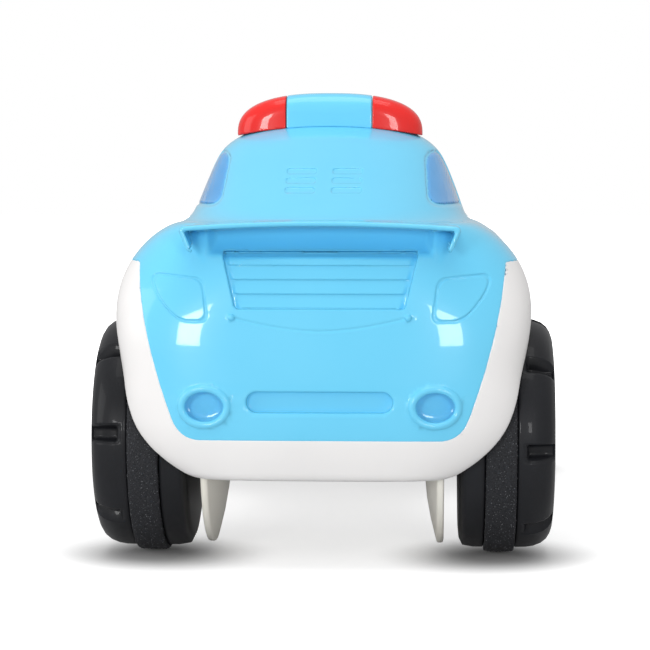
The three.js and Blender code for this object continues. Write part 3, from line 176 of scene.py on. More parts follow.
# Body form, as fields that are negative inside and grow about 1 per millimetre
def hull_half_width(z):
    low = np.clip(1 - (z - HULL_BOTTOM) / SKIRT_RUN, 0, None)
    skirt = SKIRT_HALF - (SKIRT_HALF - BOTTOM_HALF) * low ** SKIRT_POWER
    skirt = skirt + (FENDER_HALF - SKIRT_HALF) * smoothstep(BULGE_START, BULGE_HEIGHT, z)
    up = np.clip((z - BULGE_HEIGHT) / (DECK_HEIGHT - BULGE_HEIGHT), 0, 1)
    shoulder = DECK_HALF + (FENDER_HALF - DECK_HALF) * (1 - up ** SHOULDER_POWER) ** SHOULDER_FULLNESS
    return np.where(z < BULGE_HEIGHT, skirt, shoulder)


def tuck(z, at_bottom, at_top):
    """How far an end of the hull is drawn in at a height."""
    low = np.clip(1 - (z - HULL_BOTTOM) / TUCK_LOW_RUN, 0, None)
    high = np.clip((z - TUCK_HIGH_START) / (DECK_HEIGHT - TUCK_HIGH_START), 0, None)
    return at_bottom * low ** 2 + at_top * high ** TUCK_HIGH_POWER


def waist(y):
    """Share of the full width that the hull keeps beside the seat."""
    behind = smoothstep(BACKREST_Y, BACKREST_Y + WAIST_REAR_RUN, y)
    ahead = smoothstep(DASH_Y - WAIST_FRONT_RUN, DASH_Y + WAIST_OVERRUN, y)
    return 1 - WAIST_SHARE * (behind * (1 - ahead))


def plan_field(x, y, half_width, rear, front, rear_corner, nose_corner, rear_power=REAR_POWER):
    """Distance to a plan outline with squarish rear corners and rounder nose corners."""
    fit = np.minimum(1, 0.95 * (front - rear) / (rear_corner + nose_corner))
    behind = np.clip((rear + rear_corner * fit - y) / (rear_corner * fit), 0, None)
    ahead = np.clip((y - front + nose_corner * fit) / (nose_corner * fit), 0, None)
    at_rear = behind > 0
    power = np.where(at_rear, rear_power, NOSE_POWER)
    corner = np.where(at_rear, rear_corner, nose_corner) * fit
    along = np.where(at_rear, behind, ahead)
    across = np.abs(x) / half_width
    total = np.maximum(across ** power + along ** power, 1e-9)
    reach = total ** (1 / power)
    slope_x = (across / reach) ** (power - 1) / half_width
    slope_y = (along / reach) ** (power - 1) / corner
    return (reach - 1) / np.maximum(np.sqrt(slope_x ** 2 + slope_y ** 2), 1e-4)


def hull_field(x, y, z):
    half_width = hull_half_width(z) * waist(y)
    rear, front = REAR + PANEL_INSET + tuck(z, *REAR_TUCK), FRONT - tuck(z, *NOSE_TUCK)
    power = lerp(SQUARE_POWER, SOFT_POWER, smoothstep(SQUARE_HEIGHT, SOFT_HEIGHT, z))
    side = plan_field(x, y, half_width, rear, front, REAR_CORNER, NOSE_CORNER, power)
    return soft_max(soft_max(side, z - DECK_HEIGHT, DECK_ROUND), HULL_BOTTOM - z, KEEL_ROUND)


def cab_field(x, y, z):
    """Back-rest hump that leans forward and curls in under a crowned roof."""
    up = np.clip((z - DECK_HEIGHT) / (CAB_TOP - DECK_HEIGHT), CAB_SKIRT, 1)
    rise = np.clip(up, 0, 1)
    half_width = DECK_HALF - CAB_LEAN * up - CAB_CURL * rise ** 5
    rear = lerp(REAR + REAR_TUCK[1] + CAB_FOOT_INSET, CAB_TOP_REAR, rise)
    front = lerp(BACKREST_Y, CAB_TOP_FRONT, rise)
    side = plan_field(x, y, half_width, rear, front, CAB_REAR_CORNER, CAB_FRONT_CORNER, CAB_POWER)
    roof = z - CAB_TOP + x ** 2 / (2 * ROOF_CROWN)
    return soft_max(soft_max(side, roof, ROOF_ROUND), DECK_HEIGHT - SINK - z, SINK_ROUND)


def cowl_field(x, y, z):
    """Hump ahead of the seat that carries the steering column."""
    share = np.clip((z - SEAT_DECK + COWL_FOOT) / (COWL_TOP - SEAT_DECK + COWL_FOOT), 0, 1)
    half_width = COWL_HALF - COWL_LEAN * share - COWL_CURL * share ** 4
    nose = lerp(FRONT - COWL_FOOT_GAP, DASH_Y + COWL_LENGTH, share)
    rear = DASH_Y + COWL_REAR_LEAN * share
    side = plan_field(x, y, half_width, rear, nose, COWL_REAR_CORNER, COWL_NOSE_CORNER)
    return soft_max(soft_max(side, z - COWL_TOP, COWL_ROUND), SEAT_DECK - SINK - z, SINK_ROUND)


def cockpit_field(x, y, z):
    """Air above the seat bay and the sloping bonnet."""
    bonnet = lerp(BONNET_REAR_HEIGHT, BONNET_NOSE_HEIGHT, (y - DASH_Y) / (FRONT + BONNET_OVERRUN - DASH_Y))
    floor = lerp(SEAT_DECK, bonnet, smoothstep(DASH_Y - DASH_EASE, DASH_Y + DASH_EASE, y))
    return soft_max(floor - z, BACKREST_Y - y, BACKREST_ROUND) + 0 * x


def body_field(x, y, z):
    lower = soft_max(hull_field(x, y, z), -cockpit_field(x, y, z), BAY_BLEND)
    dash = soft_min(lower, cowl_field(x, y, z), COWL_BLEND)
    return soft_min(dash, cab_field(x, y, z), CAB_BLEND)


def column_bore_field(x, y, z):
    """Tunnel of the steering column."""
    along_y, along_z = -math.sin(COLUMN_TILT), math.cos(COLUMN_TILT)
    off = (y - STEERING_Y) * along_z - (z - STEERING_Z) * along_y
    return np.sqrt(x ** 2 + off ** 2) - COLUMN_BORE


def split_field(x, y, z):
    """Negative below the parting line, on the white side."""
    drop_start, rise_end = BACKREST_Y + SPLIT_REAR_SHIFT, DASH_Y + SPLIT_NOSE_SHIFT
    rear_step = smoothstep(drop_start, drop_start + SPLIT_RISE, y)
    nose_step = smoothstep(rise_end - SPLIT_RISE, rise_end, y)
    height = SPLIT_REAR - (SPLIT_REAR - SPLIT_WAIST) * rear_step + (SPLIT_NOSE - SPLIT_WAIST) * nose_step
    return z - height + 0 * x


def tongue_field(x, y, z):
    """Blue tongue that runs down the rear panel."""
    share = np.clip((z - TONGUE_BOTTOM) / (SPLIT_REAR - TONGUE_BOTTOM), 0, TONGUE_OVERRUN)
    half = lerp(TONGUE_LOW_HALF, TONGUE_TOP_HALF, share + TONGUE_BELLY * share * (1 - share))
    flat = soft_max(np.abs(x) - half, TONGUE_BOTTOM - z, TONGUE_CORNER)
    return np.maximum(flat, y - REAR - TONGUE_DEPTH)


def white_side(x, y, z):
    """Negative where the body is white."""
    return soft_max(split_field(x, y, z), -tongue_field(x, y, z), PARTING_ROUND)


def wells_field(x, y, z):
    """Air in the four wheel arches."""
    rear = np.sqrt((y - REAR_AXLE_Y) ** 2 + (z - AXLE_Z) ** 2) - REAR_ARCH
    rear = soft_max(rear, GUARD_FACE - np.abs(x), ARCH_ROUND)
    ratio = np.sqrt(((y - FRONT_AXLE_Y) / FRONT_ARCH_LENGTH) ** 2 + ((z - AXLE_Z) / FRONT_ARCH_HEIGHT) ** 2)
    front = soft_max((ratio - 1) * FRONT_ARCH_HEIGHT, SPINE_HALF - np.abs(x), ARCH_ROUND)
    return np.minimum(rear, front)


def bin_field(x, y, z):
    """Storage bin under the seat lid."""
    ends = np.abs(y - (BIN_REAR + BIN_FRONT) / 2) - (BIN_FRONT - BIN_REAR) / 2
    side = soft_max(np.abs(x) - BIN_HALF, ends, BIN_CORNER)
    return soft_max(side, BIN_FLOOR - z, BIN_FLOOR_ROUND)


def tub_field(x, y, z):
    body = body_field(x, y, z)
    part = soft_max(body, white_side(x, y, z) + PARTING_GAP, PARTING_EDGE)
    part = soft_max(part, -wells_field(x, y, z), ARCH_ROUND)
    part = soft_max(part, -bin_field(x, y, z), BIN_EDGE)
    return np.maximum(np.maximum(part, y - FRONT + END_MARGIN), -column_bore_field(x, y, z))


def slot_field(x, z):
    """Long slot with round ends, low on the rear panel."""
    across = np.clip(np.abs(x) - SLOT_HALF + SLOT_HEIGHT / 2, 0, None)
    return np.sqrt(across ** 2 + (z - SLOT_Z) ** 2) - SLOT_HEIGHT / 2


def ring_field(x, z):
    """Distance to the middle line of the exhaust ring."""
    across, rise = (np.abs(x) - RING_X) / RING_HALF_WIDE, (z - RING_Z) / RING_HALF_TALL
    ratio = np.sqrt(across ** 2 + rise ** 2) + 1e-6
    slope = np.sqrt((across / RING_HALF_WIDE) ** 2 + (rise / RING_HALF_TALL) ** 2) / ratio
    return (ratio - 1) / np.maximum(slope, 1e-3)


def grille_field(x, z):
    """Grille opening, wider at the top."""
    share = (z - GRILLE_BOTTOM) / (GRILLE_TOP - GRILLE_BOTTOM)
    share = np.clip(share, -GRILLE_OVERRUN, 1 + GRILLE_OVERRUN)
    side = np.abs(x) - lerp(GRILLE_BOTTOM_HALF, GRILLE_TOP_HALF, share)
    return soft_max(soft_max(side, z - GRILLE_TOP, GRILLE_CORNER), GRILLE_BOTTOM - z, GRILLE_CORNER)


def slat_depth(x, z):
    """Each slat leans out to its lower edge and steps back above the next one."""
    share = (z - GRILLE_BOTTOM) * GRILLE_SLATS / (GRILLE_TOP - GRILLE_BOTTOM)
    rise = share - np.floor(share)
    half = lerp(GRILLE_BOTTOM_HALF, GRILLE_TOP_HALF, np.clip(share / GRILLE_SLATS, 0, 1))
    inner = smoothstep(SLAT_END_NEAR, SLAT_END_FAR, half - np.abs(x))
    return GRILLE_DEPTH - SLAT_STEP * (1 - rise) * smoothstep(0, SLAT_EASE, rise) * inner


def lip_height(x):
    return SPOILER_Z - SPOILER_ARCH * (x / SPOILER_HALF) ** 2


def spoiler_field(x, y, z):
    """Lip under the rear window with its ends turned down."""
    low = lip_height(x)
    over = np.abs(x) + LIP_LEAN * np.clip(low - z, 0, None)
    ends = soft_max(SPOILER_HALF - LIP_WALL - over, low - SPOILER_DROP + (y - REAR) * LIP_RISE - z, LIP_ROUND)
    blade = soft_max(z - low - SPOILER_THICK, soft_min(low - z, ends, LIP_FOLD), LIP_EDGE)
    section = soft_max(blade, over - SPOILER_HALF, LIP_CORNER)
    return soft_max(soft_max(section, REAR + LIP_INSET - y, LIP_NOSE), y - REAR - LIP_REACH, LIP_ROUND)


def cove_field(x, y, z):
    """Deep hollow under the lip, closed by slanted ends."""
    depth, fall = (y - REAR - COVE_START) / COVE_DEPTH, (lip_height(x) - z) / COVE_HEIGHT
    round_back = (np.sqrt(depth ** 2 + fall ** 2 + 1e-9) - 1) * COVE_HEIGHT
    slant = COVE_END_SLANT * np.clip(y - REAR - COVE_END_START, 0, None)
    ends = np.abs(x) - COVE_HALF + slant + LIP_LEAN * (lip_height(x) - z)
    return soft_max(soft_max(round_back, ends, COVE_ROUND), z - lip_height(x), COVE_TOP_ROUND)


def lamp_field(x, z):
    """Distance to the outline of a lamp on the rear panel."""
    over = np.abs(x)
    top = z - LAMP_TOP - LAMP_TOP_SLOPE * (over - LAMP_TOP_X)
    inner = LAMP_INNER + LAMP_INNER_SLOPE * (z - LAMP_INNER_Z) - over
    curl = LAMP_CURL * (np.clip(LAMP_CURL_Z - z, 0, None) / LAMP_CURL_RUN) ** LAMP_CURL_POWER
    outer = (over - LAMP_OUTER + curl) * LAMP_OUTER_SCALE
    height = soft_max(top, LAMP_BOTTOM - z, LAMP_CORNER)
    return soft_max(height, soft_max(inner, outer, LAMP_CORNER), LAMP_ROUND)


def crease_field(x, z):
    """Shallow crease below the grille, from pin to pin."""
    line = PIN_Z - CREASE_DIP * (1 - np.clip(np.abs(x) / PIN_X, 0, 1) ** CREASE_POWER)
    return np.maximum(np.abs(z - line), np.abs(x) - PIN_X)


def vent_field(x, z):
    """Distance to the nearest louvre of the rear window panel."""
    row = np.clip(np.round((z - VENT_Z) / VENT_PITCH), 0, VENT_ROWS - 1)
    across = np.clip(np.abs(np.abs(x) - VENT_X) - VENT_HALF + VENT_TALL, 0, None)
    return np.sqrt(across ** 2 + (z - VENT_Z - row * VENT_PITCH) ** 2) - VENT_TALL


def window_field(y, z):
    """Quarter window on the side of the cab."""
    front = (y - WINDOW_FRONT) - (z - WINDOW_FOOT) * WINDOW_FRONT_LEAN
    rear = (WINDOW_REAR - y) + (z - WINDOW_FOOT) * WINDOW_REAR_LEAN
    length = soft_max(front, rear * WINDOW_REAR_SCALE, WINDOW_CORNER)
    height = soft_max(WINDOW_FOOT - z, z - WINDOW_TOP, WINDOW_END_CORNER)
    return soft_max(length, height, WINDOW_CORNER)


def hinge_radius(y, z):
    """Distance from the axis of the lid hinge."""
    return np.sqrt((y - HINGE_Y) ** 2 + (z - HINGE_Z) ** 2)


def lug_field(x, y, z):
    """Two lugs that hold the hinge pin of the seat lid."""
    rounded_top = np.sqrt((y - HINGE_Y) ** 2 + np.clip(z - HINGE_Z, 0, None) ** 2) - LUG_RADIUS
    sides = np.abs(np.abs(x) - BARREL_HALF - LUG_GAP - LUG_HALF) - LUG_HALF
    return np.maximum(soft_max(rounded_top, sides, HINGE_EDGE), SEAT_DECK - LUG_SINK - z)


def pressed(body, skin, outline, depth, floor_round, edge_round, limit):
    """Body with a recess pressed into its skin inside an outline."""
    recess = np.maximum(soft_max(outline, -skin - depth, floor_round), limit)
    return soft_max(body, -recess, edge_round)


def bead(line, height, radius, limit):
    """Round bead along a line, at a height over the skin."""
    return np.maximum(np.sqrt(line ** 2 + height ** 2) - radius, limit)


def shell_field(x, y, z):
    body = soft_max(body_field(x, y, z), -cove_field(x, y, z), COVE_EDGE)
    skin = soft_min(body, spoiler_field(x, y, z), LIP_BLEND)
    panel, cab_rear, cab_side = y - REAR - PANEL_REACH, y - CAB_TOP_REAR, PANE_INNER - np.abs(x)
    body = pressed(skin, skin, slot_field(x, z), SLOT_DEPTH, SLOT_ROUND, SLOT_EDGE, panel)
    body = pressed(body, skin, grille_field(x, z), slat_depth(x, z), GRILLE_EDGE, GRILLE_EDGE, panel)
    body = soft_max(body, -bead(lamp_field(x, z), skin, LAMP_GROOVE, panel), LAMP_EDGE)
    body = soft_max(body, -bead(crease_field(x, z), skin - CREASE_PROUD, CREASE, panel), CREASE_EDGE)
    pin = np.sqrt((np.abs(x) - PIN_X) ** 2 + (z - PIN_Z) ** 2 + skin ** 2) - PIN_RADIUS
    body = soft_min(body, np.maximum(pin, panel), PIN_BLEND)
    body = pressed(body, skin, vent_field(x, z), VENT_DEPTH, VENT_ROUND, VENT_EDGE, cab_rear)
    body = pressed(body, skin, window_field(y, z), WINDOW_DEPTH, WINDOW_ROUND, WINDOW_EDGE, cab_side)
    ring = ring_field(x, z)
    body = pressed(body, skin, ring, RING_DEPTH, BOWL_ROUND, BOWL_EDGE, panel)
    body = soft_min(body, bead(ring, skin + RING_BEAD - RING_PROUD, RING_BEAD, panel), BEAD_BLEND)
    body = soft_min(body, lug_field(x, y, z), HINGE_EDGE)
    part = soft_max(body, -white_side(x, y, z) + PARTING_GAP, PARTING_EDGE)
    part = soft_max(part, -bin_field(x, y, z), BIN_EDGE)
    barrel_room = hinge_radius(y, z) - BARREL_RADIUS - BARREL_CLEARANCE
    barrel_room = np.maximum(barrel_room, np.abs(x) - BARREL_HALF - BARREL_END_CLEARANCE)
    part = soft_max(part, -barrel_room, HINGE_EDGE)
    part = np.maximum(part, -wells_field(x, y, z))
    return np.maximum(np.maximum(part, REAR + END_MARGIN - y), -column_bore_field(x, y, z))


# Meshes from fields
SLOPE_STEP, FIRST_ROUNDS, LAST_ROUNDS = 0.05, 3, 4


def gradient(points, field, step=SLOPE_STEP):
    """Slope of a field at each point."""
    slope = np.empty_like(points)
    for axis in range(3):
        ahead, behind = points.copy(), points.copy()
        ahead[:, axis] += step
        behind[:, axis] -= step
        slope[:, axis] = (field(*ahead.T) - field(*behind.T)) / (2 * step)
    return slope


def settle(points, field, rounds, reach):
    """Moves points onto the surface of a field."""
    for _ in range(rounds):
        slope = gradient(points, field)
        length = np.sqrt((slope ** 2).sum(1)) + 1e-9
        move = np.clip(field(*points.T) / length, -reach, reach)
        points -= slope * (move / length)[:, None]
    return points


def net_of(field, xs, ys, zs):
    """Corners and quads of a field's surface, one corner for each crossed cell of the grid."""
    values = field(xs[:, None, None], ys[None, :, None], zs[None, None, :])
    values = values + np.zeros((len(xs), len(ys), len(zs)))
    inside = values < 0
    tally = sum(inside[a:len(xs) - 1 + a, b:len(ys) - 1 + b, c:len(zs) - 1 + c].astype(np.int8)
                for a in (0, 1) for b in (0, 1) for c in (0, 1))
    crossed = (tally > 0) & (tally < 8)
    number = np.full(crossed.shape, -1)
    number[crossed] = np.arange(crossed.sum())
    cell = np.array(np.nonzero(crossed))
    grid = (xs, ys, zs)
    total, count = np.zeros((cell.shape[1], 3)), np.zeros(cell.shape[1])
    quads = []
    for axis in range(3):
        u, v = (axis + 1) % 3, (axis + 2) % 3
        for du in (0, 1):
            for dv in (0, 1):
                start = cell.copy()
                start[u] += du
                start[v] += dv
                end = start.copy()
                end[axis] += 1
                a, b = values[tuple(start)], values[tuple(end)]
                hit = (a < 0) != (b < 0)
                share = np.where(hit, a / np.where(hit, a - b, 1), 0)
                place = np.empty((cell.shape[1], 3))
                place[:, u], place[:, v] = grid[u][start[u]], grid[v][start[v]]
                place[:, axis] = lerp(grid[axis][start[axis]], grid[axis][end[axis]], share)
                total[hit] += place[hit]
                count[hit] += 1
        low = np.moveaxis(inside, axis, 0)
        flips = np.array(np.nonzero(low[:-1] != low[1:]))
        rest = [k for k in range(3) if k != axis]
        edge = np.empty_like(flips)
        edge[axis], edge[rest[0]], edge[rest[1]] = flips
        size = np.array(crossed.shape)
        edge = edge[:, (edge[u] > 0) & (edge[v] > 0) & (edge[u] < size[u]) & (edge[v] < size[v])]
        outward = inside[tuple(edge)]
        ring = []
        for du, dv in ((1, 1), (0, 1), (0, 0), (1, 0)):
            near = edge.copy()
            near[u] -= du
            near[v] -= dv
            ring.append(number[tuple(near)])
        ring = np.array(ring).T
        quads.append(np.where(outward[:, None], ring, ring[:, ::-1]))
    return total / count[:, None], np.concatenate(quads)


def piece_of(name, corners, faces, finish):
    """A mesh object at the origin, from corners in millimetres."""
    mesh = bpy.data.meshes.new(name)
    mesh.from_pydata((np.asarray(corners) * MM).tolist(), [], [list(map(int, f)) for f in faces])
    mesh.validate()
    mesh.polygons.foreach_set("use_smooth", [True] * len(mesh.polygons))
    mesh.materials.append(finish)
    piece = bpy.data.objects.new(name, mesh)
    bpy.context.scene.collection.objects.link(piece)
    return piece


def field_piece(name, field, xs, ys, zs, finish, fine=()):
    """A closed piece on a field's surface; each mask in fine splits the faces it covers once more."""
    corners, quads = net_of(field, xs, ys, zs)
    cell = min(np.diff(xs).min(), np.diff(ys).min(), np.diff(zs).min())
    piece = piece_of(name, settle(corners, field, FIRST_ROUNDS, cell), quads, finish)
    for mask in fine:
        shape = bmesh.new()
        shape.from_mesh(piece.data)
        points = np.array([v.co for v in shape.verts]) / MM
        chosen = mask(*points.T)
        marked = [e for e in shape.edges if chosen[e.verts[0].index] and chosen[e.verts[1].index]]
        bmesh.ops.subdivide_edges(shape, edges=marked, cuts=1, use_grid_fill=True)
        shape.to_mesh(piece.data)
        shape.free()
    points = np.empty(len(piece.data.vertices) * 3)
    piece.data.vertices.foreach_get("co", points)
    points = settle(points.reshape(-1, 3) / MM, field, LAST_ROUNDS, cell)
    piece.data.vertices.foreach_set("co", (points * MM).ravel())
    slope = gradient(points, field)
    slope /= np.sqrt((slope ** 2).sum(1))[:, None] + 1e-9
    piece.data.polygons.foreach_set("use_smooth", [True] * len(piece.data.polygons))
    piece.data.normals_split_custom_set_from_vertices(slope.tolist())
    piece.data.update()
    return piece


def steps(*runs):
    """Grid places from runs of (start, end, step)."""
    places = [np.arange(start, end, step) for start, end, step in runs]
    return np.concatenate(places + [[runs[-1][1]]])


# Finishes
CLOUD_SCALE, CLOUD_DETAIL, CLOUD_LOW, CLOUD_HIGH = 14, 3, 0.2, 0.8
GLOSS_LOW, GLOSS_HIGH, SHEEN, COAT_ROUGHNESS = 0.85, 1.2, 0.18, 0.04
SKIN_STRENGTH, SKIN_DEPTH = 0.05, 0.0004


def add_node(tree, kind, values=None, wires=None, **settings):
    """A new node with its settings, its input values and the outputs that feed it."""
    node = tree.nodes.new(kind)
    for label, value in settings.items():
        setattr(node, label, value)
    for socket, value in (values or {}).items():
        node.inputs[socket].default_value = value
    for socket, source in (wires or {}).items():
        tree.links.new(source, node.inputs[socket])
    return node


def new_finish(name, values):
    """A finish whose shader has the given values."""
    finish = bpy.data.materials.new(name)
    finish.use_nodes = True
    shader = finish.node_tree.nodes["Principled BSDF"]
    for socket, value in values.items():
        shader.inputs[socket].default_value = value
    return finish, finish.node_tree, shader


def rgb(text):
    """A colour as written on screen, in linear light."""
    parts = [int(text[i:i + 2], 16) / 255 for i in (1, 3, 5)]
    return [p / 12.92 if p <= 0.04045 else ((p + 0.055) / 1.055) ** 2.4 for p in parts] + [1.0]


def moulded_plastic(name, colour, shade, roughness, grain, coat, cloud_scale=CLOUD_SCALE):
    """Moulded plastic: faint flow clouding, uneven gloss and a fine skin."""
    finish, tree, shader = new_finish(name, {
        "Specular IOR Level": SHEEN, "Coat Weight": coat, "Coat Roughness": COAT_ROUGHNESS})
    place = add_node(tree, "ShaderNodeTexCoord").outputs["Object"]
    cloud = add_node(tree, "ShaderNodeTexNoise", {"Scale": cloud_scale, "Detail": CLOUD_DETAIL},
                     {"Vector": place})
    tint = add_node(tree, "ShaderNodeValToRGB", wires={"Fac": cloud.outputs["Fac"]})
    tint.color_ramp.interpolation = "EASE"
    for stop, level, shown in zip(tint.color_ramp.elements, (CLOUD_LOW, CLOUD_HIGH), (shade, colour)):
        stop.position, stop.color = level, rgb(shown)
    gloss = add_node(tree, "ShaderNodeMapRange",
                     {"To Min": roughness * GLOSS_LOW, "To Max": roughness * GLOSS_HIGH},
                     {"Value": cloud.outputs["Fac"]})
    skin = add_node(tree, "ShaderNodeTexNoise", {"Scale": grain}, {"Vector": place})
    bump = add_node(tree, "ShaderNodeBump", {"Strength": SKIN_STRENGTH, "Distance": SKIN_DEPTH},
                    {"Height": skin.outputs["Fac"]})
    tree.links.new(tint.outputs["Color"], shader.inputs["Base Color"])
    tree.links.new(gloss.outputs["Result"], shader.inputs["Roughness"])
    tree.links.new(bump.outputs["Normal"], shader.inputs["Normal"])
    return finish


BLUE = moulded_plastic("blue_gloss", "#74d8fd", "#6fd5fb", 0.24, 900, 0.6)
WHITE = moulded_plastic("white_satin", "#f8f6f5", "#f3f1f0", 0.36, 1100, 0.2)
# Darker and glossier blue than the shell, set in the quarter windows
PANE = moulded_plastic("darker_blue_pane", "#5fb4f4", "#58acef", 0.12, 900, 0.8)
# Cream tint of the finger guards, made brighter than the white shell as painted light for their shaded place
# under the body
CREAM_WITH_PAINTED_LIGHT = moulded_plastic("cream_satin_painted_light", "#fffdf4", "#fbf7ec", 0.36, 1100, 0.2)
BLACK = moulded_plastic("black_grain", "#232428", "#1c1d20", 0.4, 1400, 0.12)
RUBBER = moulded_plastic("granular_rubber", "#3a3b3f", "#17181a", 0.62, 700, 0.0, 1300)
GRAIN = moulded_plastic("rubber_grain", "#7c7e82", "#26272a", 0.4, 900, 0.0, 420)
RED = moulded_plastic("red_lens", "#f5302c", "#f02a27", 0.22, 900, 0.4)
YELLOW = moulded_plastic("yellow_key", "#f7c948", "#f2bf38", 0.3, 900, 0.2)
GREEN = moulded_plastic("board_green", "#2f6b45", "#27593a", 0.5, 1200, 0.0)
STEEL = moulded_plastic("plated_steel", "#c3c6ca", "#b4b7bb", 0.3, 2000, 0.0)
STEEL.node_tree.nodes["Principled BSDF"].inputs["Metallic"].default_value = 1.0

FINISH_OF_SLOT = {
    "blue_shell": BLUE, "white_shell": WHITE, "red_lens": RED, "black_wheel": BLACK,
    "grip_rubber": RUBBER, "steel": STEEL, "yellow_key": YELLOW, "board": GREEN,
}


# Body pieces, with a finer mesh near edges and details
EDGE_BESIDE, EDGE_UNDER, LINE_BESIDE, LINE_UNDER, ARCH_BESIDE, ARCH_UNDER = 4, 5, 2.4, 2.6, 5, 6
DETAIL_MARGIN, RELIEF_MARGIN, CREASE_MARGIN, VENT_MARGIN = 5, 3, 4, 8
PANEL_MESH_DEPTH, LIP_MESH_DROP, LIP_MESH_HALF, LIP_MESH_DEPTH = 25, 6, 13, 34
BODY_ACROSS = steps((-142, 142, 2.8))
TUB_ALONG, TUB_UP = steps((-304, -250, 2.6), (-250, 304, 4.6)), steps((55, 202, 2.8))
SHELL_ALONG, SHELL_UP = steps((-304, -262, 2.6), (-262, -100, 4), (-100, 304, 8)), steps((78, 290, 2.6))


def parting_edge(x, y, z):
    """Places near the parting line."""
    beside, under = np.abs(white_side(x, y, z)) - EDGE_BESIDE, np.abs(body_field(x, y, z)) - EDGE_UNDER
    return np.maximum(beside, under) < 0


def parting_line(x, y, z):
    """Places on the parting line itself, which are split once more."""
    beside, under = np.abs(white_side(x, y, z)) - LINE_BESIDE, np.abs(body_field(x, y, z)) - LINE_UNDER
    return np.maximum(beside, under) < 0


def tub_edges(x, y, z):
    """Places near the parting line and the edges of the wheel arches."""
    arch = np.maximum(np.abs(wells_field(x, y, z)) - ARCH_BESIDE, np.abs(body_field(x, y, z)) - ARCH_UNDER)
    return parting_edge(x, y, z) | (arch < 0)


def panel_details(x, y, z):
    """Places near the fine details of the rear panel, the lip, the vents and the windows."""
    lamp, ring = np.abs(lamp_field(x, z)) - DETAIL_MARGIN, np.abs(ring_field(x, z)) - DETAIL_MARGIN
    grille, slot = grille_field(x, z) - DETAIL_MARGIN, slot_field(x, z) - RELIEF_MARGIN
    panel = np.minimum(np.minimum(lamp, grille), np.minimum(slot, ring))
    panel = np.maximum(np.minimum(panel, crease_field(x, z) - CREASE_MARGIN), y - REAR - PANEL_MESH_DEPTH)
    lip = np.maximum(np.abs(z - SPOILER_Z + LIP_MESH_DROP) - LIP_MESH_HALF, y - REAR - LIP_MESH_DEPTH)
    vents = np.maximum(vent_field(x, z) - VENT_MARGIN, y - CAB_TOP_REAR)
    window = np.maximum(np.abs(window_field(y, z)) - RELIEF_MARGIN, PANE_INNER - np.abs(x))
    return (np.minimum(np.minimum(panel, lip), np.minimum(vents, window)) < 0) | parting_edge(x, y, z)


def panel_relief(x, y, z):
    """Places near the narrowest details, which are split once more."""
    lamp, grille = np.abs(lamp_field(x, z)) - RELIEF_MARGIN, grille_field(x, z) - RELIEF_MARGIN
    panel = np.minimum(np.minimum(lamp, grille), crease_field(x, z) - RELIEF_MARGIN)
    vents = np.maximum(vent_field(x, z) - DETAIL_MARGIN, y - CAB_TOP_REAR)
    return (np.minimum(np.maximum(panel, y - REAR - PANEL_MESH_DEPTH), vents) < 0) | parting_line(x, y, z)


tub = field_piece("tub", tub_field, BODY_ACROSS, TUB_ALONG, TUB_UP, WHITE, fine=(tub_edges, parting_line))
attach(tub, "car_body")
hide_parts("chassis")

shell = field_piece("shell", shell_field, BODY_ACROSS, SHELL_ALONG, SHELL_UP, BLUE,
                    fine=(panel_details, panel_relief))
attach(shell, "car_body")
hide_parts("body_shell")


# Window panes on the cab sides
PANE_SIDES = (("left", steps((-96, -56, 1.6))), ("right", steps((56, 96, 1.6))))
PANE_ALONG, PANE_UP = steps((-244, -140, 1.6)), steps((228, 272, 1.6))


def pane_field(x, y, z):
    """Darker, glossier blue pane set in the quarter window."""
    skin = body_field(x, y, z)
    inset = soft_max(window_field(y, z) + PANE_GAP, skin + WINDOW_DEPTH - PANE_PROUD, PANE_EDGE)
    return np.maximum(np.maximum(inset, -skin - WINDOW_DEPTH - PANE_THICK), PANE_INNER - np.abs(x))


for word, across in PANE_SIDES:
    pane = field_piece(word + "_pane", pane_field, across, PANE_ALONG, PANE_UP, PANE)
    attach(pane, "car_body")


# Seat lid
LID_ACROSS, LID_ALONG, LID_UP = steps((-70, 70, 1.6)), steps((-116, 36, 1.5)), steps((195, 217, 1.1))


def lid_field(x, y, z):
    """Rounded lid with a shallow seat hollow, its hinge barrel, strap and locating rib."""
    middle, half_length = (LID_REAR + LID_FRONT) / 2, (LID_FRONT - LID_REAR) / 2
    across = np.clip(np.abs(x) - LID_HALF + LID_CORNER, 0, None)
    along = np.clip(np.abs(y - middle) - half_length + LID_CORNER, 0, None)
    outline = np.sqrt(across ** 2 + along ** 2 + 1e-9) - LID_CORNER
    inside = np.maximum(np.abs(x) - LID_HALF, np.abs(y - middle) - half_length)
    outline = np.where((across > 0) & (along > 0), outline, inside)
    over_seat = z - LID_TOP - LID_HOLLOW_RADIUS + LID_HOLLOW
    hollow = LID_HOLLOW_RADIUS - np.sqrt(x ** 2 + (y - middle) ** 2 + over_seat ** 2)
    plate = soft_max(outline, soft_max(z - LID_TOP, hollow, LID_HOLLOW_EDGE), LID_ROUND)
    plate = soft_max(plate, LID_BOTTOM - z, LID_EDGE)
    barrel = hinge_radius(y, z)
    strap = np.maximum(np.maximum(z - HINGE_Z, LID_BOTTOM + STRAP_LIFT - z),
                       np.maximum(HINGE_Y - y, y - LID_REAR - STRAP_OVERLAP))
    hinge = soft_max(np.minimum(barrel - BARREL_RADIUS, strap), np.abs(x) - BARREL_HALF, HINGE_EDGE)
    rib = np.maximum(np.maximum(LID_BOTTOM - RIB_DROP - z, z - LID_BOTTOM - RIB_SINK),
                     np.abs(x) - BIN_HALF + RIB_INSET)
    rib = np.maximum(rib, np.abs(y - BIN_FRONT + RIB_SETBACK) - RIB_HALF)
    return np.maximum(soft_min(np.minimum(plate, rib), hinge, LID_BLEND), PIN_BORE - barrel)


lid = field_piece("seat_lid_moulding", lid_field, LID_ACROSS, LID_ALONG, LID_UP, WHITE)
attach(lid, "seat")
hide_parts("seat_lid")


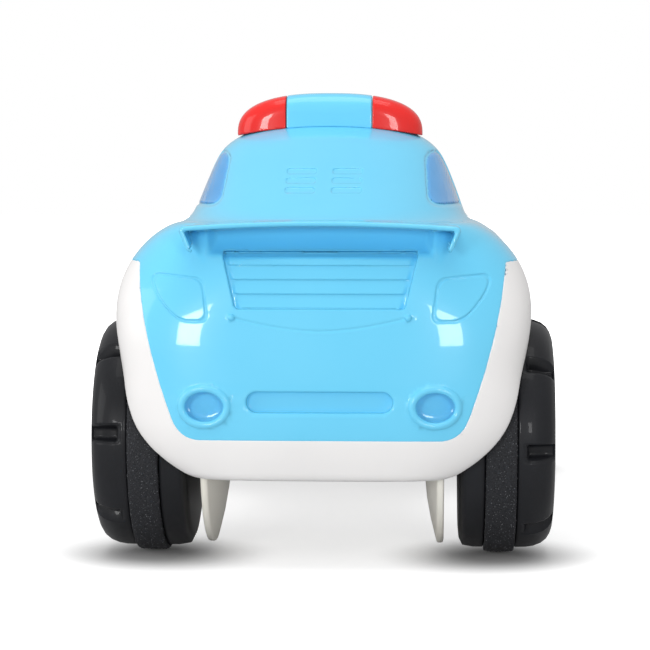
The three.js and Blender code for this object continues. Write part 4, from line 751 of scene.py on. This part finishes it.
# Steering wheel
STEERING_ACROSS, STEERING_ALONG = steps((-72, 72, 1.5)), steps((42, 188, 1.5))
STEERING_UP = steps((214, 290, 1.5))


def column_frame(x, y, z):
    """Places in the frame of the tilted column, whose Z runs up the column."""
    ahead, up = y - STEERING_Y, z - STEERING_Z
    lean, rise = math.sin(COLUMN_TILT), math.cos(COLUMN_TILT)
    return x, ahead * rise + up * lean, up * rise - ahead * lean


def spoke_field(x, y, z, turn):
    """One flat spoke between the cup and the rim, wider at the rim."""
    a = math.radians(turn)
    along, across = x * math.cos(a) + y * math.sin(a), y * math.cos(a) - x * math.sin(a)
    side = np.abs(across) - SPOKE_HALF - SPOKE_FLARE * np.clip(along - SPOKE_FLARE_START, 0, None)
    spoke = soft_max(side, np.abs(z + SPOKE_DROP) - SPOKE_THICK_HALF, SPOKE_ROUND)
    return np.maximum(spoke, np.maximum(CUP_RADIUS - SPOKE_SINK - along, along - STEERING_RADIUS))


def steering_wheel_field(x, y, z):
    """Round rim, three spokes and the cup of the music module."""
    x, y, z = column_frame(x, y, z)
    radius = np.sqrt(x ** 2 + y ** 2 + 1e-9)
    whole = np.sqrt((radius - STEERING_RADIUS) ** 2 + z ** 2 + 1e-9) - RIM_TUBE
    cup = soft_max(soft_max(radius - CUP_RADIUS, z - CUP_RIM, CUP_RIM_ROUND), -CUP_DEPTH - z, CUP_FOOT_ROUND)
    inside = np.maximum(radius - CUP_RADIUS + CUP_WALL, -CUP_DEPTH + CUP_WALL - z)
    ledge = np.maximum(np.maximum(z - BOARD_HEIGHT, BOARD_HEIGHT - LEDGE_THICK - z),
                       CUP_RADIUS - CUP_WALL - LEDGE - radius)
    inside = np.maximum(inside, -ledge)
    for turn in SPOKE_TURNS:
        whole = soft_min(whole, spoke_field(x, y, z, turn), SPOKE_ROUND)
    whole = np.maximum(soft_min(whole, cup, CUP_BLEND), -inside)
    boss = np.maximum(BOSS_FOOT - z, z + CUP_DEPTH - BOSS_SINK)
    boss = np.maximum(radius - COLUMN_SOCKET - BOSS_WALL, boss)
    whole = soft_min(whole, boss, CUP_BLEND)
    whole = np.maximum(whole, -np.maximum(radius - COLUMN_SOCKET, z + CUP_DEPTH))
    hatch = np.maximum(np.abs(x) - HATCH_HALF, np.maximum(HATCH_NEAR - y, y - HATCH_FAR))
    slit = np.abs((x + SLIT_PHASE) % SLIT_PITCH - SLIT_PITCH / 2) - SLIT_HALF
    slit = np.maximum(np.maximum(slit, np.abs(x) - SLITS_HALF),
                      np.maximum(SPEAKER_Y - SLITS_NEAR - y, y - SPEAKER_Y - SLITS_FAR))
    floor = np.maximum(z + CUP_DEPTH - CUP_WALL - CUT_OVERRUN, -CUP_DEPTH - CUT_OVERRUN - z)
    return np.maximum(whole, -np.maximum(np.minimum(hatch, slit), floor))


steering_wheel = field_piece("steering_wheel_moulding", steering_wheel_field, STEERING_ACROSS, STEERING_ALONG,
                             STEERING_UP, WHITE)
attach(steering_wheel, "steering")
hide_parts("steering_wheel")


# Kingpin ears of the front axle
EAR_SIDES = (("left", steps((-90, -46, 1.2))), ("right", steps((46, 90, 1.2))))
EAR_ALONG, EAR_UP = steps((168, 192, 1.2)), steps((56, 121, 1.1))


def ears_field(x, y, z):
    """Two flat ears that carry a kingpin, rounded at the eye."""
    over = np.abs(x)
    eye = np.sqrt((over - KINGPIN_X) ** 2 + (y - FRONT_AXLE_Y) ** 2)
    reach = np.maximum(SPINE_HALF - EAR_SINK - over, over - KINGPIN_X)
    arm = np.maximum(np.abs(y - FRONT_AXLE_Y) - EAR_RADIUS, reach)
    low, high = np.abs(z - EAR_LOW), np.abs(z - EAR_HIGH)
    plate = soft_max(np.minimum(arm, eye - EAR_RADIUS), np.minimum(low, high) - EAR_THICK / 2, EAR_EDGE)
    return np.maximum(plate, KINGPIN_BORE - eye)


for word, across in EAR_SIDES:
    ears = field_piece(word + "_kingpin_ears", ears_field, across, EAR_ALONG, EAR_UP, WHITE)
    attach(ears, "car_body")


# Housing and lenses of the light bar
HOUSING_ACROSS = steps((-31, 31, 1.1))
LEFT_LENS_ACROSS, RIGHT_LENS_ACROSS = steps((-66, -27, 1.1)), steps((27, 66, 1.1))
BAR_ALONG, BAR_UP = steps((-166, -130, 1.1)), steps((276, 309.5, 1.1))


def bar_field(x, y, z):
    """Low dome across the roof."""
    across, rise = np.abs(x) / BAR_HALF, np.clip(z - BAR_FOOT, 0, None) / BAR_RISE
    arch = (across ** BAR_POWER + rise ** BAR_POWER + 1e-9) ** (1 / BAR_POWER)
    dome = (arch - 1) * lerp(BAR_HALF, BAR_RISE, np.clip(BAR_OVERRUN - across, 0, 1))
    depth = np.abs(y - BAR_Y) - BAR_HALF_DEPTH * (1 - BAR_END_TAPER * (x / BAR_HALF) ** 4)
    roof = CAB_TOP - x ** 2 / (2 * ROOF_CROWN) - BAR_SINK
    return soft_max(soft_max(dome, depth, BAR_ROUND), roof - z, BAR_FOOT_EDGE)


def housing_field(x, y, z):
    return soft_max(bar_field(x, y, z), np.abs(x) - BAR_CENTRE_HALF, LENS_EDGE)


def right_lens_field(x, y, z):
    return soft_max(bar_field(x, y, z), BAR_CENTRE_HALF + LENS_GAP - x, LENS_EDGE)


def left_lens_field(x, y, z):
    return right_lens_field(-x, y, z)


housing = field_piece("bar_housing", housing_field, HOUSING_ACROSS, BAR_ALONG, BAR_UP, BLUE)
right_lens = field_piece("right_lens", right_lens_field, RIGHT_LENS_ACROSS, BAR_ALONG, BAR_UP, RED)
left_lens = field_piece("left_lens", left_lens_field, LEFT_LENS_ACROSS, BAR_ALONG, BAR_UP, RED)
for piece, node, slot in ((housing, "light_bar_housing", "blue_shell"),
                          (left_lens, "left_beacon_lens", "red_lens"),
                          (right_lens, "right_beacon_lens", "red_lens")):
    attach(piece, "car_body")
    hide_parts(node)


# Round pieces about an axle
def rounded(profile, share=0.3, rounds=2):
    """An open profile with its inner corners cut twice, so that it bends softly."""
    points = np.array(profile, float)
    for _ in range(rounds):
        ahead, behind = lerp(points[:-1], points[1:], share), lerp(points[:-1], points[1:], 1 - share)
        points = np.concatenate([points[:1], np.stack([ahead, behind], 1).reshape(-1, 2)[1:-1], points[-1:]])
    return points


def turned(name, profile, sides, place, mirror, finish, sink=None, closed=False, phase=0.0):
    """Turns a profile of (x, radius) about an axle along X; sink lowers the radius at (x, angle)."""
    points = np.array(profile, float)
    angle = np.arange(sides) * 2 * math.pi / sides
    along = np.repeat(points[:, 0], sides)
    radius = np.repeat(points[:, 1], sides)
    turn = np.tile(angle, len(points))
    if sink is not None:
        radius = radius - sink(along, radius, turn)
    turn = turn + phase
    ahead, up = place[0] + radius * np.cos(turn), place[1] + radius * np.sin(turn)
    corners = np.stack([along * mirror, ahead, up], 1)
    rows = len(points)
    faces = []
    for i in range(rows if closed else rows - 1):
        for k in range(sides):
            a, b = i * sides + k, i * sides + (k + 1) % sides
            c, d = (i + 1) % rows * sides + (k + 1) % sides, (i + 1) % rows * sides + k
            faces.append((a, b, c, d))
    piece = piece_of(name, corners, faces, finish)
    shape = bmesh.new()
    shape.from_mesh(piece.data)
    bmesh.ops.remove_doubles(shape, verts=shape.verts, dist=1e-6)
    bmesh.ops.recalc_face_normals(shape, faces=shape.faces)
    shape.to_mesh(piece.data)
    shape.free()
    return piece


def notch_sink(along, radius, turn):
    """Pockets round the outer shoulder, open to the outer side."""
    pitch = 2 * math.pi / NOTCHES
    off = (turn / pitch - np.round(turn / pitch)) * pitch * TREAD
    wide = 1 - smoothstep(NOTCH_HALF - NOTCH_WALL, NOTCH_HALF + NOTCH_WALL, np.abs(off))
    run = smoothstep(NOTCH_START - NOTCH_RAMP, NOTCH_START + NOTCH_RAMP, along)
    run = run * (1 - smoothstep(NOTCH_END_START, NOTCH_END, along))
    return wide * run * np.clip(radius - TREAD + NOTCH_DEPTH + NOTCH_REACH, 0, NOTCH_DEPTH)


def wheel_profile(hub_inner):
    """Section of a wheel: hub and inner side, then the shoulder with its lip and the web."""
    inner = [(GROOVE_NEAR, TREAD - 3), (GROOVE_NEAR, TREAD - 0.6), (GROOVE_NEAR - 0.6, TREAD), (98, TREAD),
             (91, TREAD - 1.2), (88.6, TREAD - 6), (WHEEL_INNER, TREAD - 12), (WHEEL_INNER, 30),
             (WHEEL_INNER, 14.5), (hub_inner, 13.6), (hub_inner, AXLE_BORE)]
    outer = [(GROOVE_FAR, TREAD - 3), (GROOVE_FAR, TREAD - 0.6), (GROOVE_FAR + 0.6, TREAD),
             (132, TREAD - 0.1), (132.8, TREAD - 0.15), (133.6, TREAD - 0.2), (WHEEL_WEB, TREAD - 0.9),
             (143, TREAD - 2.8), (146.5, TREAD - 5.6), (148.6, TREAD - 9), (149.6, TREAD - 12),
             (WHEEL_FACE, TREAD - 15), (149, TREAD - 18), (143, TREAD - 20.5), (138.4, TREAD - 23),
             (WHEEL_WEB, 50), (WHEEL_WEB, AXLE_BORE)]
    return inner[::-1] + outer


def spread(profile, reach):
    """Adds corners so that no step of a profile is longer than reach."""
    points = [profile[0]]
    for a, b in zip(profile[:-1], profile[1:]):
        count = max(1, math.ceil(math.dist(a, b) / reach))
        points += [(lerp(a[0], b[0], k / count), lerp(a[1], b[1], k / count)) for k in range(1, count + 1)]
    return points


BAND_PROFILE = [(105.2, 74.0), (105.2, 78.4), (105.8, 79.0), (108, 79.4), (115, 79.6), (122, 79.4),
                (124.2, 79.0), (124.8, 78.4), (124.8, 74.0)]


def grain_group():
    """Scatters small grains over a rubber band."""
    tree = bpy.data.node_groups.new("band_grains", "GeometryNodeTree")
    tree.interface.new_socket("Band", in_out="INPUT", socket_type="NodeSocketGeometry")
    sockets = {}
    for label, kind in (("Grains per area", "NodeSocketFloat"), ("Grain radius", "NodeSocketFloat"),
                        ("Seed", "NodeSocketInt"), ("Finish", "NodeSocketMaterial")):
        sockets[label] = tree.interface.new_socket(label, in_out="INPUT", socket_type=kind).identifier
    tree.interface.new_socket("Grains", in_out="OUTPUT", socket_type="NodeSocketGeometry")
    given = add_node(tree, "NodeGroupInput").outputs
    points = add_node(tree, "GeometryNodeDistributePointsOnFaces", wires={
        "Mesh": given["Band"], "Density": given["Grains per area"], "Seed": given["Seed"]})
    grain = add_node(tree, "GeometryNodeMeshIcoSphere", {"Subdivisions": 1},
                     {"Radius": given["Grain radius"]})
    size = add_node(tree, "FunctionNodeRandomValue", {2: SMALLEST_GRAIN, 3: 1.0}, {"Seed": given["Seed"]})
    placed = add_node(tree, "GeometryNodeInstanceOnPoints", wires={
        "Points": points.outputs["Points"], "Instance": grain.outputs["Mesh"], "Scale": size.outputs[1]})
    solid = add_node(tree, "GeometryNodeRealizeInstances", wires={"Geometry": placed.outputs["Instances"]})
    dressed = add_node(tree, "GeometryNodeSetMaterial", wires={
        "Geometry": solid.outputs["Geometry"], "Material": given["Finish"]})
    add_node(tree, "NodeGroupOutput", wires={"Grains": dressed.outputs["Geometry"]})
    return tree, sockets


def grown(name, source, tree, values):
    """The mesh that a node group makes from a piece, as a plain piece of its own."""
    grower = source.modifiers.new("grains", "NODES")
    grower.node_group = tree
    for identifier, value in values.items():
        grower[identifier] = value
    view = bpy.context.evaluated_depsgraph_get()
    mesh = bpy.data.meshes.new_from_object(source.evaluated_get(view), depsgraph=view)
    source.modifiers.remove(grower)
    mesh.name = name
    piece = bpy.data.objects.new(name, mesh)
    bpy.context.scene.collection.objects.link(piece)
    return piece


GRAIN_TREE, GRAIN_SOCKETS = grain_group()
CAP_PROFILE = [(144.8, 0), (144.8, 17), (142.5, 24), (139.5, 27.4), (138.4, 27.6), (138.4, 29.6),
               (139.4, 29.9), (141, 29), (144, 26), (147, 20.5), (147.2, 18), (146.4, 17), (146.4, 9),
               (147.6, 7.4), (149.0, 4), (149.3, 0)]
# Each wheel's corner, side, axle, inner end of the hub and turn of its notches in degrees
CORNERS = (("rear_left", -1, REAR_AXLE_Y, REAR_HUB_INNER, 175.0),
           ("rear_right", 1, REAR_AXLE_Y, REAR_HUB_INNER, 183.5),
           ("front_left", -1, FRONT_AXLE_Y, WHEEL_INNER, 20.0),
           ("front_right", 1, FRONT_AXLE_Y, WHEEL_INNER, 32.0))
for corner, mirror, axle_y, hub_inner, phase in CORNERS:
    place = (axle_y, AXLE_Z)
    section = spread(wheel_profile(hub_inner), TYRE_REACH)
    tyre = turned(corner + "_tyre", section, TYRE_SIDES, place, mirror, BLACK, notch_sink, closed=True,
                  phase=math.radians(phase))
    band = turned(corner + "_grip", BAND_PROFILE, BAND_SIDES, place, mirror, RUBBER, closed=True)
    grains = grown(corner + "_grains", band, GRAIN_TREE, {
        GRAIN_SOCKETS["Grains per area"]: GRAINS_PER_AREA, GRAIN_SOCKETS["Grain radius"]: GRAIN_RADIUS,
        GRAIN_SOCKETS["Seed"]: FIRST_GRAIN_SEED + round(phase), GRAIN_SOCKETS["Finish"]: GRAIN})
    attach(grains, corner + "_roller")
    cap = turned(corner + "_cap", rounded(CAP_PROFILE), CAP_SIDES, place, mirror, WHITE)
    for piece, node, slot in ((tyre, "_wheel", "black_wheel"), (band, "_band", "grip_rubber"),
                              (cap, "_hub_cap", "white_shell")):
        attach(piece, corner + "_roller")
        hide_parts(corner + node)

# Finger guards beside the rear wheels
TIP_FACE = GUARD_FACE - GUARD_TIP
GUARD_PROFILE = [(GUARD_FACE, AXLE_BORE), (GUARD_FACE, GUARD_RADIUS - 2),
                 (GUARD_FACE - 0.5, GUARD_RADIUS - 0.4), (GUARD_FACE - 1.4, GUARD_RADIUS),
                 (TIP_FACE + 1.2, GUARD_RADIUS), (TIP_FACE + 0.3, GUARD_RADIUS - 0.6),
                 (TIP_FACE - 0.2, GUARD_RADIUS - 2.4), (GUARD_FACE - 8.4, 58), (GUARD_FACE - 11, 44),
                 (GUARD_FACE - GUARD_THICK, 34), (GUARD_FACE - GUARD_THICK, AXLE_BORE)]
# The guards take the brightened cream, painted light for the shade under the body
for word, mirror in (("left", -1), ("right", 1)):
    guard = turned(word + "_finger_guard", GUARD_PROFILE, GUARD_SIDES, (REAR_AXLE_Y, AXLE_Z), mirror, CREAM_WITH_PAINTED_LIGHT,
                   closed=True)
    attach(guard, "car_body")

# Finishes of the solids
for part in frame["record"]["subparts"]:
    node = frame["nodes"][part["node"]]
    node.data.materials.clear()
    node.data.materials.append(FINISH_OF_SLOT[part["material_slot"]])


# Stage, in metres
FLOOR_HALF, FLOOR_GREY, FLOOR_ROUGHNESS, FLOOR_LIFT, ROOM_LIGHT = 9, 0.62, 0.9, 0.62, 0.56
# Painted contact shadow round each wheel's contact place, and the reach of the white floor beyond
CONTACT_PLACE, SHADOW_NEAR, SHADOW_FAR, WHITE_NEAR, WHITE_FAR = (0.113, 0.22, 0), 0.015, 0.085, 0.25, 0.5
WHITE_LIGHT = (1, 1, 1, 1)


def shown_white(tree):
    """One where the camera looks, also through clear plastic, and nothing where light only bounces."""
    path = add_node(tree, "ShaderNodeLightPath").outputs
    seen = add_node(tree, "ShaderNodeMath", operation="MAXIMUM",
                    wires={0: path["Is Camera Ray"], 1: path["Is Transmission Ray"]})
    return seen.outputs["Value"]


def studio_floor():
    """Pale floor that turns white away from the car; its glow is dimmed in pools where the four wheels stand,
    a painted contact shadow.
    """
    finish, tree, shader = new_finish("studio_white", {
        "Base Color": (FLOOR_GREY, FLOOR_GREY, FLOOR_GREY, 1), "Roughness": FLOOR_ROUGHNESS,
        "Specular IOR Level": 0.0, "Emission Color": WHITE_LIGHT})
    place = add_node(tree, "ShaderNodeTexCoord").outputs["Object"]
    mirrored = add_node(tree, "ShaderNodeVectorMath", operation="ABSOLUTE", wires={0: place})
    sides = add_node(tree, "ShaderNodeSeparateXYZ", wires={"Vector": mirrored.outputs["Vector"]})
    ground = add_node(tree, "ShaderNodeCombineXYZ", wires={
        "X": sides.outputs["X"], "Y": sides.outputs["Y"]}).outputs["Vector"]
    contact = add_node(tree, "ShaderNodeVectorMath", {1: CONTACT_PLACE}, {0: ground}, operation="DISTANCE")
    # Painted contact shadow: the glow drops to nothing close to each wheel's contact place
    near = add_node(tree, "ShaderNodeMapRange",
                    {"From Min": SHADOW_NEAR, "From Max": SHADOW_FAR, "To Min": 0.0, "To Max": FLOOR_LIFT},
                    {"Value": contact.outputs["Value"]}, interpolation_type="SMOOTHSTEP")
    length = add_node(tree, "ShaderNodeVectorMath", operation="LENGTH", wires={0: ground})
    far = add_node(tree, "ShaderNodeMapRange", {"From Min": WHITE_NEAR, "From Max": WHITE_FAR},
                   {"Value": length.outputs["Value"]}, interpolation_type="SMOOTHSTEP")
    glow_with_painted_shadow = add_node(tree, "ShaderNodeMath", operation="ADD",
                    wires={0: near.outputs["Result"], 1: far.outputs["Result"]})
    lift = add_node(tree, "ShaderNodeMath", operation="MULTIPLY",
                    wires={0: shown_white(tree), 1: glow_with_painted_shadow.outputs["Value"]})
    tree.links.new(lift.outputs["Value"], shader.inputs["Emission Strength"])
    mesh = bpy.data.meshes.new("floor")
    corners = [(x * FLOOR_HALF, y * FLOOR_HALF, 0) for x, y in ((-1, -1), (1, -1), (1, 1), (-1, 1))]
    mesh.from_pydata(corners, [], [(0, 1, 2, 3)])
    mesh.materials.append(finish)
    floor = bpy.data.objects.new("floor", mesh)
    bpy.context.scene.collection.objects.link(floor)


def softbox(name, place, target, wide, tall, watts):
    """A rectangular lamp that faces a target."""
    lamp = bpy.data.lights.new(name, "AREA")
    lamp.shape, lamp.size, lamp.size_y, lamp.energy = "RECTANGLE", wide, tall, watts
    box = bpy.data.objects.new(name, lamp)
    box.location = place
    box.rotation_euler = (Vector(target) - Vector(place)).to_track_quat("-Z", "Y").to_euler()
    bpy.context.scene.collection.objects.link(box)


studio_floor()
softbox("left_softbox", (-0.74, -2.18, 0.47), (-0.05, -0.28, 0.16), 0.34, 0.36, 8)
softbox("right_softbox", (0.52, -2.12, 0.46), (0.05, -0.28, 0.16), 0.32, 0.34, 5)
softbox("top_softbox", (0, -0.5, 2.2), (0, -0.1, 0.1), 1.6, 1.6, 16)
softbox("left_fill", (-1.9, -0.9, 0.7), (0, -0.1, 0.12), 1.2, 1.2, 9)

world = bpy.data.worlds.new("studio")
world.use_nodes = True
bpy.context.scene.world = world
room = world.node_tree.nodes["Background"]
room.inputs["Color"].default_value = WHITE_LIGHT
level = add_node(world.node_tree, "ShaderNodeMapRange", {"To Min": ROOM_LIGHT, "To Max": 1.0},
                 {"Value": shown_white(world.node_tree)})
world.node_tree.links.new(level.outputs["Result"], room.inputs["Strength"])

bpy.context.scene.view_settings.view_transform = "Standard"

CAMERA_PLACE, CAMERA_DIP, CAMERA_TURN = (0.069, -1.684, 0.261), math.radians(4.2), math.radians(2.7)
lens = bpy.data.cameras.new("camera")
lens.sensor_width, lens.lens = 36, 123.5
camera = bpy.data.objects.new("camera", lens)
camera.location = CAMERA_PLACE
camera.rotation_euler = (math.pi / 2 - CAMERA_DIP, 0, CAMERA_TURN)
bpy.context.scene.collection.objects.link(camera)
bpy.context.scene.camera = camera
